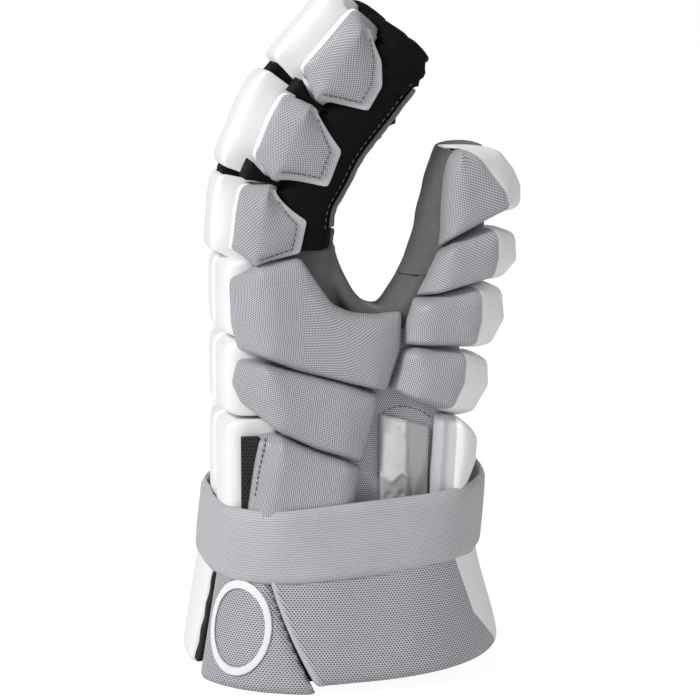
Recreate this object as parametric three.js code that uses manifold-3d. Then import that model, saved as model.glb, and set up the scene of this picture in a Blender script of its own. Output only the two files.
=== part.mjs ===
// A left-hand lacrosse glove, standing on its cuff with the fingers up and the thumb held out.
// Millimetres, +Z up. The back of the hand faces -X, the palm faces +X and the thumb side faces -Y.
// Fabric and leather stalls make the hollow for the hand, and foam pads are seated on them.
import * as THREE from "three";
import { mergeVertices } from "three/addons/utils/BufferGeometryUtils.js";
import Module from "manifold-3d";

const wasm = await Module();
wasm.setup();

// Driving sizes
const seatGap = 0.3; // air between a piece and what it sits on
const stallWall = 1.6; // mesh wall of a finger stall
const palmWall = 2; // leather and lining wall of the hand
const handBottomZ = 50; // where the hand's lining ends inside the cuff
const knuckleZ = 197; // where the fingers leave the hand
const handBackX = -52; // the lining under the back pads
const knuckleThickness = 40; // back to palm at the knuckles
const wristDepth = 99; // back to palm at the wrist
const handWidth = 94; // thumb side to little-finger side
const knuckleRise = 2; // how far the knuckles stand proud of the wrist

const fingerPitch = 27; // from one finger's middle line to the next
const stallWidth = 22.6; // a finger stall, across
const stallDepth = 29; // a finger stall, back to palm
const stallSquare = 2.5; // how square its section is
const tipRound = 9; // length over which a stall closes
const fingerPadThickness = 13; // foam over a finger
const fingerPadWidth = 26;
const padEdge = 4; // chamfer along a finger pad's top
const tabReach = 15.5; // how far a pad's stitched tab runs down the finger's side
const tabThickness = 1.3;
const padEndTilt = 0.3; // the pads' ends lean this much toward the wrist, per mm of height
const padJoint = 0.8; // gap between neighbouring pads on the fingers
const fingerPalmThickness = 1.2; // leather strip along a finger's grip side
const fingerPalmWidth = 15;

const thumbTopZ = 243.5;
const thumbReach = 45; // how far the thumb's tip stands toward the palm
const thumbY = -29;
const thumbDepth = 32; // the thumb stall, back to grip side
const thumbWidth = 33;
const thumbSplitZ = 183; // where the stall is sewn to the palm
const thumbPadThickness = 12;

const handPadThickness = 14; // foam on the back of the hand
const backArch = 0.0031; // the back falls away to both sides, mm per mm squared
const backTurn = 0.1; // and a little more toward the little finger
const sidePadThickness = 11; // foam on the thumb side and the little-finger side
const padBottomZ = 64; // the pads stop here, under the strap
const columnGap = 1.4; // between the columns of back pads

const ventWidth = 8; // mesh vent beside the lowest back pad
const ventTopZ = 112;
const insertWidth = 20; // clear moulded plate beside the thumb's base
const insertThickness = 2.4;
const insertTopZ = 121;

const flapTopZ = 63.7; // the cuff flaps are sewn to the wrist here, under the pads
const flapShoulder = 22; // how far in the seam allowance reaches, before it meets the hand
const flapThickness = 6.5;
const cuffDepth = 126; // the cuff at its top, back to palm
const cuffWidth = 115;
const hemDepth = 152; // and at its flared hem
const hemWidth = 132;
const cuffSquare = 3; // corners of the cuff at its top
const hemSquare = 2.3;
const cuffCentreX = -4.5;
const hemZ = -5; // the hem stands this far below the frame that the hand is measured in
const raisedHemZ = -1; // the thumb-side flap is shorter at the back of the hand
const raisedPalmZ = 8; // and shorter again at the palm
const flapRise = 4.5; // and the flap on the back hangs a little higher than the longest ones

const strapWidth = 33;
const strapThickness = 2.2;
const strapDepth = 142; // outside, back to palm
const strapSpan = 128.5; // outside, side to side
const strapSquare = 3.4; // its corners are drawn tight over the pads
const strapCentreX = -6;
const strapMidZ = 69.8;
const strapRise = 0.03; // higher at the palm, per mm
const strapSweep = 0.0006; // and more so at its end there, per mm squared
const strapLean = 0.06; // and higher at the little-finger side

const cleanUp = 0.03; // edges shorter than this are drawn together
const tubeSides = 12;
const handSides = 24;
const tubeRings = 7;
const strapSides = 40;

// The fingers: side is in finger pitches from the hand's middle, forward shifts the base toward the palm,
// fan leans it sideways in degrees, and each bend is a length with its lean toward the palm in degrees.
const fingers = [
  {
    name: "index", side: -1.5, forward: 0, fan: -2,
    bends: [[43, 7], [30, 28], [50, 38]],
    cuts: [0.17, 0.43, 0.73],
  },
  {
    name: "middle", side: -0.5, forward: -4, fan: -0.7,
    bends: [[48, 6], [30, 23], [52, 41]],
    cuts: [0.16, 0.43, 0.74],
  },
  {
    name: "ring", side: 0.5, forward: -0.5, fan: 0.7,
    bends: [[45, 9], [30, 31], [48, 47]],
    cuts: [0.17, 0.43, 0.73],
  },
  {
    name: "little", side: 1.5, forward: 5, fan: 2.4,
    bends: [[40, 14], [24, 36], [38, 50]],
    cuts: [0.21, 0.45, 0.73],
  },
];
const fingerBaseX = -36.5;
const fingerBaseZ = 176;

// The thumb from inside the wrist to its tip: up is a share of its top's height, lean of its reach, and
// depth and width are shares of the thumb's own.
const thumbSections = [
  { up: 0.25, lean: -0.13, depth: 2.2, width: 1 },
  { up: 0.41, lean: 0.12, depth: 2.25, width: 1 },
  { up: 0.534, lean: 0.3, depth: 1.82, width: 1 },
  { up: 0.636, lean: 0.44, depth: 1.64, width: 1 },
  { up: 0.698, lean: 0.63, depth: 1.29, width: 1 },
  { up: 0.75, lean: 0.76, depth: 1.12, width: 1 },
  { up: 0.821, lean: 0.87, depth: 1, width: 1 },
  { up: 0.883, lean: 0.93, depth: 0.96, width: 0.98 },
  { up: 0.944, lean: 0.96, depth: 0.84, width: 0.88 },
  { up: 0.978, lean: 0.98, depth: 0.62, width: 0.68 },
  { up: 1, lean: 1, depth: 0.34, width: 0.42 },
];

// The hand's own sections from the cuff to the knuckles: up is a share of its height, palm a share of the
// way from the knuckles' thickness to the wrist's, wide a share of the width, square the corners' power.
const handSections = [
  { up: 0, palm: 1, wide: 1.04, square: 2.4 },
  { up: 0.16, palm: 0.96, wide: 1.04, square: 2.4 },
  { up: 0.34, palm: 0.62, wide: 1.02, square: 2.6 },
  { up: 0.52, palm: 0.3, wide: 1, square: 2.9 },
  { up: 0.72, palm: 0.09, wide: 1, square: 3.2 },
  { up: 0.88, palm: 0.01, wide: 1, square: 3.5 },
  { up: 1, palm: 0, wide: 1, square: 3.6 },
];

// A finger pad from its wrist end to its tip end: height is the foam's share, tab the side tab's.
const padStations = [
  { along: 0, height: 0.55, tab: 0.85 },
  { along: 0.18, height: 1, tab: 1 },
  { along: 0.42, height: 1, tab: 0.9 },
  { along: 0.8, height: 1, tab: 0.25 },
  { along: 1, height: 0.82, tab: 0.03 },
];

const rad = THREE.MathUtils.degToRad;
const lerp = THREE.MathUtils.lerp;
const vec = (x, y, z) => new THREE.Vector3(x, y, z);

// Material colours of the fabric, leather, mesh and plastic
const finishes = {
  greyFabric: { color: 0xa7a5ad, roughness: 0.85 },
  whiteFabric: { color: 0xe8e8ea, roughness: 0.75 },
  blackMesh: { color: 0x0e0e0f, roughness: 0.9 },
  greyLeather: { color: 0x4c4d4d, roughness: 0.8 },
  strapWeb: { color: 0xaaa9b0, roughness: 0.8 },
  clearPlastic: { color: 0xc9cacb, roughness: 0.15 },
};
const material = Object.fromEntries(
  Object.entries(finishes).map(([name, look]) => [
    name,
    new THREE.MeshStandardMaterial({ ...look, metalness: 0 }),
  ]),
);

const glove = new THREE.Group();

// Solids

// A closed solid through rings of equal point counts, capped with a fan at each end.
function loft(rings) {
  const count = rings[0].length;
  const points = rings.flat();
  const middle = (ring) => ring.reduce((sum, p) => sum.add(p), vec(0, 0, 0)).divideScalar(count);
  points.push(middle(rings[0]), middle(rings.at(-1)));
  const index = [];
  for (let r = 0; r < rings.length - 1; r++)
    for (let i = 0; i < count; i++) {
      const [a, b] = [r * count + i, r * count + ((i + 1) % count)];
      index.push(a, b, b + count, a, b + count, a + count);
    }
  const top = (rings.length - 1) * count;
  for (let i = 0; i < count; i++) {
    const next = (i + 1) % count;
    index.push(next, i, points.length - 2);
    index.push(top + i, top + next, points.length - 1);
  }
  return solidOf(points, index);
}

// A solid from points and triangles, turned to face out whichever way its rings ran.
function solidOf(points, index) {
  const geometry = new THREE.BufferGeometry().setFromPoints(points).setIndex(index);
  const merged = mergeVertices(geometry, 1e-4);
  const vertProperties = merged.attributes.position.array;
  const build = (triVerts) => new wasm.Manifold(new wasm.Mesh({ numProp: 3, vertProperties, triVerts }));
  const triVerts = new Uint32Array(merged.index.array);
  const made = build(triVerts);
  if (made.volume() > 0) return made;
  return build(triVerts.map((v, i, all) => all[i - (i % 3) + ((3 - (i % 3)) % 3)]));
}

// Cutting a pad to its seat can leave a crumb beyond the seat: only the largest body is the piece.
function mainBody(solid) {
  return solid.decompose().reduce((best, body) => (body.volume() > best.volume() ? body : best));
}

function addPiece(name, solid, look) {
  const { numProp, numVert, vertProperties, triVerts } = mainBody(solid).simplify(cleanUp).getMesh();
  const position = new Float32Array(numVert * 3);
  for (let i = 0; i < numVert; i++) position.set(vertProperties.subarray(i * numProp, i * numProp + 3), i * 3);
  const geometry = new THREE.BufferGeometry();
  geometry.setAttribute("position", new THREE.BufferAttribute(position, 3));
  geometry.setIndex(new THREE.BufferAttribute(triVerts, 1));
  geometry.computeVertexNormals();
  const mesh = new THREE.Mesh(geometry, look);
  mesh.name = name;
  glove.add(mesh);
  return solid;
}

// Points of a rounded section, as [across, out] pairs.
function roundSection(across, out, power, sides) {
  return Array.from({ length: sides }, (_, i) => {
    const turn = (i / sides) * 2 * Math.PI;
    const bulge = (v) => Math.sign(v) * Math.abs(v) ** (2 / power);
    return [across * bulge(Math.cos(turn)), out * bulge(Math.sin(turn))];
  });
}

// A bent middle line: at(s) gives its point and the directions along, side and out, s mm from its start.
function bentLine(start, bends, side, sideLean) {
  const across = vec(0, side * Math.cos(sideLean), -side * Math.sin(sideLean));
  const points = [start.clone()];
  for (const [length, lean] of bends)
    for (let half = 0; half < 2; half++) {
      const rise = Math.cos(rad(lean));
      const step = vec(Math.sin(rad(lean)), rise * Math.sin(sideLean), rise * Math.cos(sideLean));
      points.push(points.at(-1).clone().addScaledVector(step, length / 2));
    }
  const curve = new THREE.CatmullRomCurve3(points, false, "centripetal");
  const total = curve.getLength();
  return {
    total,
    at(s) {
      const share = THREE.MathUtils.clamp(s / total, 0, 1);
      const along = curve.getTangentAt(share).normalize();
      const out = along.clone().cross(across).normalize();
      const centre = curve.getPointAt(share).addScaledVector(along, s - share * total);
      return { centre, along, across: across.clone(), out };
    },
  };
}

// Section points placed in a frame of a middle line; tilt moves them along it as they stand out.
function placeRing(frame, section, tilt = 0) {
  return section.map(([w, d]) =>
    frame.centre
      .clone()
      .addScaledVector(frame.across, w)
      .addScaledVector(frame.out, d)
      .addScaledVector(frame.along, -tilt * d),
  );
}

// The hand

function handHalves(up) {
  const i = Math.max(1, handSections.findIndex((row) => row.up >= up - 1e-9));
  const [a, b] = [handSections[i - 1], handSections[i]];
  const share = (up - a.up) / (b.up - a.up);
  const mix = (key) => lerp(a[key], b[key], share);
  const back = handBackX - knuckleRise * up;
  const palm = handBackX + lerp(knuckleThickness, wristDepth, mix("palm"));
  return { back, palm, half: (handWidth / 2) * mix("wide"), square: mix("square") };
}

function handSolid(grow, bottomZ, topZ) {
  const height = knuckleZ - handBottomZ;
  const rings = handSections.map((row) => {
    const { back, palm, half, square } = handHalves(row.up);
    const section = roundSection(half + grow, (palm - back) / 2 + grow, square, handSides);
    const z = row.up === 0 ? bottomZ : row.up === 1 ? topZ : handBottomZ + height * row.up;
    const middle = (back + palm) / 2;
    const backShare = (d) => Math.max(0, (-2 * d) / (palm - back));
    return section.map(([w, d]) => vec(middle + d + archAt(w) * backShare(d), w, z));
  });
  return loft(rings);
}

// How far the back of the hand falls away at a distance from its middle
const archAt = (y) => backTurn * y + backArch * y * y;

// A row of a table at a share of its first column, mixed between its neighbours.
function rowAt(table, key, value) {
  const i = Math.max(1, table.findIndex((row) => row[key] >= value - 1e-9));
  const [a, b] = [table[i - 1], table[i]];
  const share = (value - a[key]) / (b[key] - a[key]);
  return Object.fromEntries(Object.keys(a).map((column) => [column, lerp(a[column], b[column], share)]));
}

function thumbAt(z) {
  const { lean, depth, width } = rowAt(thumbSections, "up", Math.min(1, z / thumbTopZ));
  return { x: lean * thumbReach, depth: (depth * thumbDepth) / 2, width: (width * thumbWidth) / 2 };
}

// The thumb's tube between two heights, grown or shrunk all round.
function thumbSolid(grow, fromZ, toZ) {
  const heights = thumbSections.map((row) => row.up * thumbTopZ);
  const between = heights.filter((z) => z > fromZ + 2 && z < toZ - 2);
  const rings = [fromZ, ...between, toZ].map((z) => {
    const { x, depth, width } = thumbAt(z);
    const section = roundSection(width + grow, depth + grow, 2.4, tubeSides);
    return section.map(([w, d]) => vec(x + d, thumbY + w, z));
  });
  return loft(rings);
}

// Fingers
const fingerLines = fingers.map((finger) =>
  bentLine(
    vec(fingerBaseX + finger.forward, finger.side * fingerPitch, fingerBaseZ),
    finger.bends,
    1,
    rad(finger.fan),
  ),
);

function fingerSolid(line, grow, endTrim) {
  const end = line.total - endTrim;
  const closing = [
    { s: end - tipRound, size: 1 },
    { s: end - tipRound * 0.35, size: 0.88 },
    { s: end, size: 0.6 },
  ];
  const straight = Array.from({ length: tubeRings }, (_, i) => ({
    s: (i / tubeRings) * (line.total - tipRound),
    size: 1,
  }));
  return loft(
    [...straight, ...closing].map(({ s, size }) =>
      placeRing(
        line.at(s),
        roundSection(size * (stallWidth / 2 + grow), size * (stallDepth / 2 + grow), stallSquare, tubeSides),
      ),
    ),
  );
}

// A block between two corners.
function block(low, high) {
  const size = high.clone().sub(low);
  const middle = low.clone().lerp(high, 0.5);
  const geometry = new THREE.BoxGeometry(size.x, size.y, size.z).translate(...middle.toArray());
  const corners = mergeVertices(geometry.deleteAttribute("normal").deleteAttribute("uv"), 1e-4);
  const { array, count } = corners.attributes.position;
  return solidOf(
    Array.from({ length: count }, (_, i) => vec(...array.slice(i * 3, i * 3 + 3))),
    Array.from(corners.index.array),
  );
}

const reach = 400; // larger than the glove
const belowKnuckles = block(vec(-reach, -reach, -reach), vec(reach, reach, knuckleZ + seatGap));

const handOuter = handSolid(0, handBottomZ, knuckleZ);
const handGrown = handSolid(seatGap, handBottomZ - 1, knuckleZ + seatGap);
const handInner = handSolid(-palmWall, handBottomZ - 5, knuckleZ - palmWall);
const thumbStartZ = thumbSections[0].up * thumbTopZ;
const thumbLower = thumbSolid(0, thumbStartZ, thumbSplitZ);
const thumbGrown = thumbSolid(seatGap, thumbStartZ - seatGap, thumbTopZ + seatGap);
const thumbInner = thumbSolid(-palmWall, thumbStartZ + 8, thumbTopZ - palmWall);
const fingerInners = fingerLines.map((line) => fingerSolid(line, -stallWall, stallWall));
const fingerOuters = fingerLines.map((line) => fingerSolid(line, 0, 0));
const fingerGrowns = fingerLines.map((line) => fingerSolid(line, seatGap, -seatGap));
const joined = (solids) => solids.reduce((sum, solid) => sum.add(solid));
const handCarve = handGrown.add(thumbGrown);

addPiece(
  "palm_shell",
  handOuter.add(thumbLower).subtract(joined([handInner, thumbInner, ...fingerInners])),
  material.greyLeather,
);
addPiece(
  "thumb_stall",
  thumbSolid(0, thumbSplitZ + seatGap, thumbTopZ).subtract(joined([thumbInner, handGrown])),
  material.greyLeather,
);
fingers.forEach((finger, i) =>
  addPiece(
    `${finger.name}_stall`,
    fingerOuters[i].subtract(fingerInners[i]).subtract(belowKnuckles),
    material.blackMesh,
  ),
);

// Leather strip on the grip side of each finger, laid round the stall
const stripShares = [-1, -0.55, 0, 0.55, 1];
fingers.forEach((finger, i) => {
  const line = fingerLines[i];
  const ringStep = (line.total - tipRound) / tubeRings;
  const power = stallSquare;
  const across = stallWidth / 2 + seatGap;
  const face = (share, lift) => {
    const w = (share * fingerPalmWidth) / 2;
    return [w, -lift - (stallDepth / 2 + 2 * seatGap) * (1 - Math.abs(w / across) ** power) ** (1 / power)];
  };
  const section = [
    ...stripShares.map((share) => face(share, 0)),
    ...stripShares
      .toReversed()
      .map((share) => face(share, fingerPalmThickness * (Math.abs(share) === 1 ? 0.6 : 1))),
  ];
  const stops = Array.from({ length: tubeRings - 1 }, (_, k) => (k + 2) * ringStep);
  const rings = stops.map((s) => placeRing(line.at(s), section));
  addPiece(`${finger.name}_palm`, loft(rings), material.greyLeather);
});

// Finger pads
function fingerPadSection(height, tab) {
  const base = stallDepth / 2;
  const top = base + fingerPadThickness * height;
  const half = fingerPadWidth / 2;
  const tabHalf = Math.min(half, stallWidth / 2 + seatGap + tabThickness);
  const low = base - 2 - tabReach * tab;
  const side = [
    [tabHalf - 0.4, low],
    [tabHalf, low + 1],
    [half, base - 1],
    [half, top - padEdge * height],
    [half - padEdge, top],
  ];
  return [...side, ...side.toReversed().map(([w, d]) => [-w, d])];
}

fingers.forEach((finger, i) => {
  const line = fingerLines[i];
  const carve = fingerGrowns[i].add(handGrown);
  finger.cuts.forEach((cut, k) => {
    const from = cut * line.total + padJoint / 2;
    const to = (finger.cuts[k + 1] ?? 1.02) * line.total - padJoint / 2;
    const pad = loft(
      padStations.map(({ along, height, tab }) => {
        const endTip = k === finger.cuts.length - 1 && along > 0.9;
        const section = fingerPadSection(endTip ? height * 0.8 : height, tab);
        return placeRing(line.at(lerp(from, to, along)), section, endTip ? 0 : padEndTilt);
      }),
    );
    addPiece(`${finger.name}_pad_${k + 1}`, pad.subtract(carve), material.whiteFabric);
  });
});

// Pads on the hand

// A padded slab along one axis: each station gives the section's inner and outer height and its two ends.
// place turns (station, across, out) into a point.
function slab(stations, bevel, place) {
  return loft(
    stations.map(({ at, inner, outer, low, high }) => {
      const edge = Math.min(bevel, (outer - inner) * 0.6, (high - low) * 0.3);
      return [
        place(at, low, inner),
        place(at, low, outer - edge),
        place(at, low + edge, outer),
        place(at, high - edge, outer),
        place(at, high, outer - edge),
        place(at, high, inner),
      ];
    }),
  );
}

// Pads across the back of the hand: rows by height, columns from the thumb side to the little-finger side.
const backRows = { a: [157, 192], b: [121, 155.5], c: [padBottomZ, 119.5] };
const backColumns = [[-42, -15], [-13.6, 13.6], [15, 42]];
const cornerX = -31; // nearer the back than this, the side pads stop at the outermost columns
const columnEnd = -backColumns[0][0] + columnGap / 2;
const backSpace = block(vec(-reach, -columnEnd, -reach), vec(cornerX + 8, columnEnd, reach));

// Side pads: for each station, its x, how far it stands out as a share of the pad, and its ends in z. Both
// sides start with the same slanted face toward the back; only the thumb side runs on into the web.
const sideFaces = {
  a: [
    { x: -66, out: -0.5, low: 163, high: 184 },
    { x: -63.5, out: -0.2, low: 160, high: 187 },
    { x: -51, out: 1, low: 153, high: 193 },
  ],
  b: [
    { x: -66, out: -0.5, low: 134, high: 150 },
    { x: -63.5, out: -0.2, low: 128, high: 153 },
    { x: -47, out: 1, low: 115, high: 146 },
  ],
  c: [
    { x: -51, out: 0.4, low: padBottomZ, high: 111 },
    { x: -45.5, out: 1, low: padBottomZ, high: 112.5 },
  ],
};
const thumbSideEnds = {
  a: [
    { x: -30, out: 1, low: 145, high: 195 },
    { x: -17, out: 1, low: 140, high: 171 },
    { x: 5, out: 1, low: 134, high: 163 },
    { x: 11, out: 0.4, low: 137, high: 160 },
  ],
  b: [
    { x: -20, out: 1, low: 106.5, high: 137.5 },
    { x: 0, out: 1, low: 101, high: 131.5 },
    { x: 4, out: 0.4, low: 104, high: 130 },
  ],
  c: [
    { x: -26, out: 1, low: padBottomZ, high: 106 },
    { x: -7, out: 1, low: padBottomZ, high: 99 },
    { x: -2, out: 0.3, low: padBottomZ, high: 96 },
  ],
};
const littleSideEnds = {
  a: [
    { x: -26, out: 1, low: 149, high: 191 },
    { x: -19, out: 0.4, low: 151, high: 188 },
  ],
  b: [
    { x: -20, out: 1, low: 109, high: 145 },
    { x: -11, out: 0.4, low: 112, high: 142 },
  ],
  c: [
    { x: -24, out: 1, low: padBottomZ, high: 107 },
    { x: -4, out: 0.3, low: padBottomZ, high: 102 },
  ],
};
for (const [side, label, ends] of [[-1, "thumb_side", thumbSideEnds], [1, "little_side", littleSideEnds]])
  for (const row of ["a", "b", "c"]) {
    const raw = slab(
      [...sideFaces[row], ...ends[row]].map(({ x, out, low, high }) => ({
        at: x,
        inner: x < cornerX ? columnEnd : handWidth / 2 - 20,
        outer: handWidth / 2 + sidePadThickness * (out > 0 ? 0.3 + 0.7 * out : 0.3 + out * 0.8),
        low,
        high,
      })),
      2.5,
      (x, z, y) => {
        const turned = side > 0 ? backTurn * handWidth * THREE.MathUtils.clamp((-38 - x) / 20, 0, 1) : 0;
        return vec(x + turned, side * y, z);
      },
    );
    addPiece(`${label}_pad_${row}`, raw.subtract(handCarve).subtract(backSpace), material.greyFabric);
  }

for (const [row, [low, high]] of Object.entries(backRows))
  backColumns.forEach(([left, right], column) => {
    const stations = [
      { z: low, out: 0.78 },
      { z: low + 3, out: 1 },
      { z: high - 4, out: 1 },
      { z: high, out: 0.72 },
    ];
    const raw = slab(
      stations.map(({ z, out }) => ({
        at: z,
        inner: -handBackX - 20,
        outer: -handBackX + handPadThickness * out,
        low: left,
        high: right,
      })),
      4,
      (z, y, x) => vec(archAt(y) - x, y, z),
    );
    addPiece(`back_pad_${row}_${column + 1}`, raw.subtract(handCarve), material.whiteFabric);
  });

// Thumb pads, from the wrist up: each ends at a slanted plane, with its height at the thumb's middle and its
// slope toward the palm. Starts are its web-side edge at both ends, and side is how far its outer side
// stands off the thumb, as a share of the foam.
const thumbPads = [
  {
    name: "thumb_pad_1", low: 131, lowSlope: -0.33, high: 151.6, highSlope: -0.03,
    starts: [16, 12.6], side: 1.1,
  },
  {
    name: "thumb_pad_2", low: 152.8, lowSlope: -0.03, high: 176.3, highSlope: 0.2,
    starts: [12.6, 17], side: 1.25,
  },
  {
    name: "thumb_pad_3", low: 177.5, lowSlope: 0.2, high: 201, highSlope: 0.36,
    starts: [19, 28], side: 1.4,
  },
  {
    name: "thumb_pad_4", low: 202.2, lowSlope: 0.36, high: 241.5, highSlope: 0,
    starts: [30, 37], side: 1.35,
  },
];
// Its section: lean is a share of the thumb's own depth from its web side to its outer side, and out stands
// off the thumb; rim says how much of the foam is left there at a rounded end.
const thumbStations = [
  { t: 0, foam: 0.45 },
  { t: 0.12, foam: 1 },
  { t: 0.86, foam: 1 },
  { t: 1, foam: 0.45 },
];
function thumbPad({ low, lowSlope, high, highSlope, starts, side }) {
  const foam = thumbPadThickness;
  return loft(
    thumbStations.map(({ t, foam: share }) => {
      const { x, depth, width } = thumbAt(lerp(low, high, t));
      const left = lerp(...starts, t);
      const right = x + depth;
      const front = thumbY - width;
      const back = thumbY + width;
      const thick = foam * share;
      const wide = thick * side;
      const corners = [
        [left, front + 6],
        [left - 0.5, front - 1.6],
        [left + 4, front - thick * 0.8],
        [left + 8, front - thick],
        [right - 4, front - thick],
        [right + wide * 0.6, front - thick * 0.35],
        [right + wide, front + 6],
        [right + wide, back - 8],
        [right + wide * 0.5, back + 1],
        [right - 8, back + 1],
        [x, thumbY],
      ];
      return corners.map(([px, py]) => {
        const run = px - x;
        return vec(px, py, lerp(low + lowSlope * run, high + highSlope * run, t));
      });
    }),
  );
}
for (const row of thumbPads) addPiece(row.name, thumbPad(row).subtract(handCarve), material.greyFabric);

// The plain block at the thumb's root: its face toward the palm, by height.
const basePadFaces = [
  { z: padBottomZ, x: 47 },
  { z: 86, x: 50 },
  { z: 116, x: 52.5 },
  { z: 121.5, x: 50 },
];
const basePadSlope = 0.33;
const basePadLowX = 27.5;
addPiece(
  "thumb_base_pad",
  loft(
    basePadFaces.map(({ z, x }, i) => {
      const front = thumbY - thumbWidth / 2 - (i === basePadFaces.length - 1 ? 3 : 5);
      return [
        [basePadLowX, front + 16],
        [basePadLowX, front + 2],
        [basePadLowX + 3, front],
        [x - 7, front],
        [x - 1, front + 5],
        [x, front + 14],
        [x - 2, -16],
        [x - 12, -12],
      ].map(([px, py]) => vec(px, py, z - basePadSlope * (px - basePadLowX) * (i > 1 ? 1 : 0)));
    }),
  ).subtract(handCarve),
  material.whiteFabric,
);

// Moulded plate and mesh vent at the wrist

// A plate against the hand's side, seated on it.
function sidePlate(lowX, highX, lowZ, highZ, slope, thickness) {
  const half = handWidth / 2;
  const raw = slab(
    [lowX, lerp(lowX, highX, 0.5), highX].map((x) => ({
      at: x,
      inner: half - 25,
      outer: sideAt(x, lerp(lowZ, highZ, 0.5)) + seatGap + thickness,
      low: lowZ,
      high: highZ - slope * (x - lowX),
    })),
    1,
    (x, z, y) => vec(x, -y, z),
  );
  return raw.subtract(handCarve);
}

// How far the hand's thumb side, with the thumb's root, stands out at a place.
function sideAt(x, z) {
  const probe = block(vec(x - 0.5, -reach, z - 0.5), vec(x + 0.5, 0, z + 0.5));
  const slice = handOuter.add(thumbLower).intersect(probe);
  return -slice.boundingBox().min[1];
}

const insertLowX = 5.5;
addPiece(
  "clear_insert",
  sidePlate(insertLowX, insertLowX + insertWidth, padBottomZ, insertTopZ, 0.28, insertThickness),
  material.clearPlastic,
);
// The vent fills the corner between the lowest side pad and the back pad beside it.
const ventNearX = sideFaces.c[0].x - seatGap;
const ventEdgeY = backColumns[0][0] - seatGap;
const ventSection = [
  [ventNearX, ventEdgeY],
  [ventNearX, ventEdgeY - 5],
  [ventNearX - ventWidth, ventEdgeY - 2.5],
  [ventNearX - ventWidth, ventEdgeY],
];
addPiece(
  "vent_mesh",
  loft([padBottomZ, ventTopZ].map((z) => ventSection.map(([x, y]) => vec(x, y, z)))),
  material.blackMesh,
);

// Cuff flaps and strap

// A point of the cuff at an angle from the palm, with its height and how far inside the outer face it is.
function cuffPoint(angle, z, inset) {
  const flare = (flapTopZ - z) / (flapTopZ - hemZ);
  const depth = lerp(cuffDepth, hemDepth, flare) / 2 - inset;
  const width = lerp(cuffWidth, hemWidth, flare) / 2 - inset;
  const power = lerp(cuffSquare, hemSquare, flare);
  const bulge = (v) => Math.sign(v) * Math.abs(v) ** (2 / power);
  return vec(cuffCentreX + depth * bulge(Math.cos(rad(angle))), width * bulge(Math.sin(rad(angle))), z);
}

// Flaps by the angles, in degrees from the palm, where each starts and ends at its top and at its hem, and
// the hem's height at both ends.
const flaps = [
  {
    name: "thumb_flap", top: [-131, 18], hem: [-106, 16],
    hemZ: [raisedHemZ, raisedPalmZ], look: "greyFabric",
  },
  { name: "badge_flap", top: [-164, -132.2], hem: [-163, -107.2], hemZ: [hemZ, hemZ], look: "greyFabric" },
  {
    name: "back_flap", top: [-197.6, -166.2], hem: [-202.4, -166.4],
    hemZ: [hemZ + flapRise, hemZ + flapRise], look: "whiteFabric",
  },
  { name: "little_flap", top: [-335, -199.5], hem: [-335, -204.5], hemZ: [hemZ, hemZ], look: "greyFabric" },
];
const flapLevels = [
  { v: 0, pinch: 1.6, shoulder: 0 },
  { v: 0.05, pinch: 0, shoulder: 0 },
  { v: 0.5, pinch: 0, shoulder: 0 },
  { v: 0.88, pinch: 0, shoulder: 0 },
  { v: 0.94, pinch: 0, shoulder: 1 },
  { v: 1, pinch: 0, shoulder: 1 },
];
function flapSolid({ top, hem, hemZ: [startZ, endZ] }) {
  const steps = Math.ceil((top[1] - top[0]) / 9);
  const rings = Array.from({ length: steps + 1 }, (_, i) => {
    const t = i / steps;
    const side = (inner) =>
      flapLevels.map(({ v, pinch, shoulder }) => {
        const angle = lerp(lerp(hem[0], hem[1], t), lerp(top[0], top[1], t), v);
        const edge = i === 0 || i === steps ? 1.2 : 0;
        const inset = inner ? flapThickness - pinch - edge + shoulder * flapShoulder : pinch + edge;
        return cuffPoint(angle, lerp(lerp(startZ, endZ, t), flapTopZ, v), inset);
      });
    return [...side(false), ...side(true).toReversed()];
  });
  return loft(rings);
}
flaps.forEach((flap) => addPiece(flap.name, flapSolid(flap).subtract(handCarve), material[flap.look]));

// The strap, one closed band
function strapSolid() {
  const edge = 0.6;
  const profile = [
    [0, -strapWidth / 2 + edge],
    [0, strapWidth / 2 - edge],
    [edge, strapWidth / 2],
    [strapThickness, strapWidth / 2],
    [strapThickness, -strapWidth / 2],
    [edge, -strapWidth / 2],
  ];
  const points = [];
  const index = [];
  for (let i = 0; i < strapSides; i++)
    profile.forEach(([inset, rise], k) => {
      const loop = roundSection(strapSpan / 2 - inset, strapDepth / 2 - inset, strapSquare, strapSides);
      const section = loop[i];
      const [y, x] = section;
      const sweep = strapSweep * Math.max(0, x) ** 2;
      points.push(vec(strapCentreX + x, y, strapMidZ + rise + strapRise * x + sweep + strapLean * y));
      const [a, b] = [i * profile.length, ((i + 1) % strapSides) * profile.length];
      const next = (k + 1) % profile.length;
      index.push(a + k, b + k, b + next, a + k, b + next, a + next);
    });
  return solidOf(points, index);
}
addPiece("wrist_strap", strapSolid(), material.strapWeb);

// The glove stands on the frame's floor, with its box centred on the upright axis.
const box = new THREE.Box3().setFromObject(glove);
glove.position.set(-(box.min.x + box.max.x) / 2, -(box.min.y + box.max.y) / 2, -box.min.z);

export default glove;
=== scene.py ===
import math
import bmesh
import bpy
import numpy as np
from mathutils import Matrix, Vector
from mathutils.bvhtree import BVHTree


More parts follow.
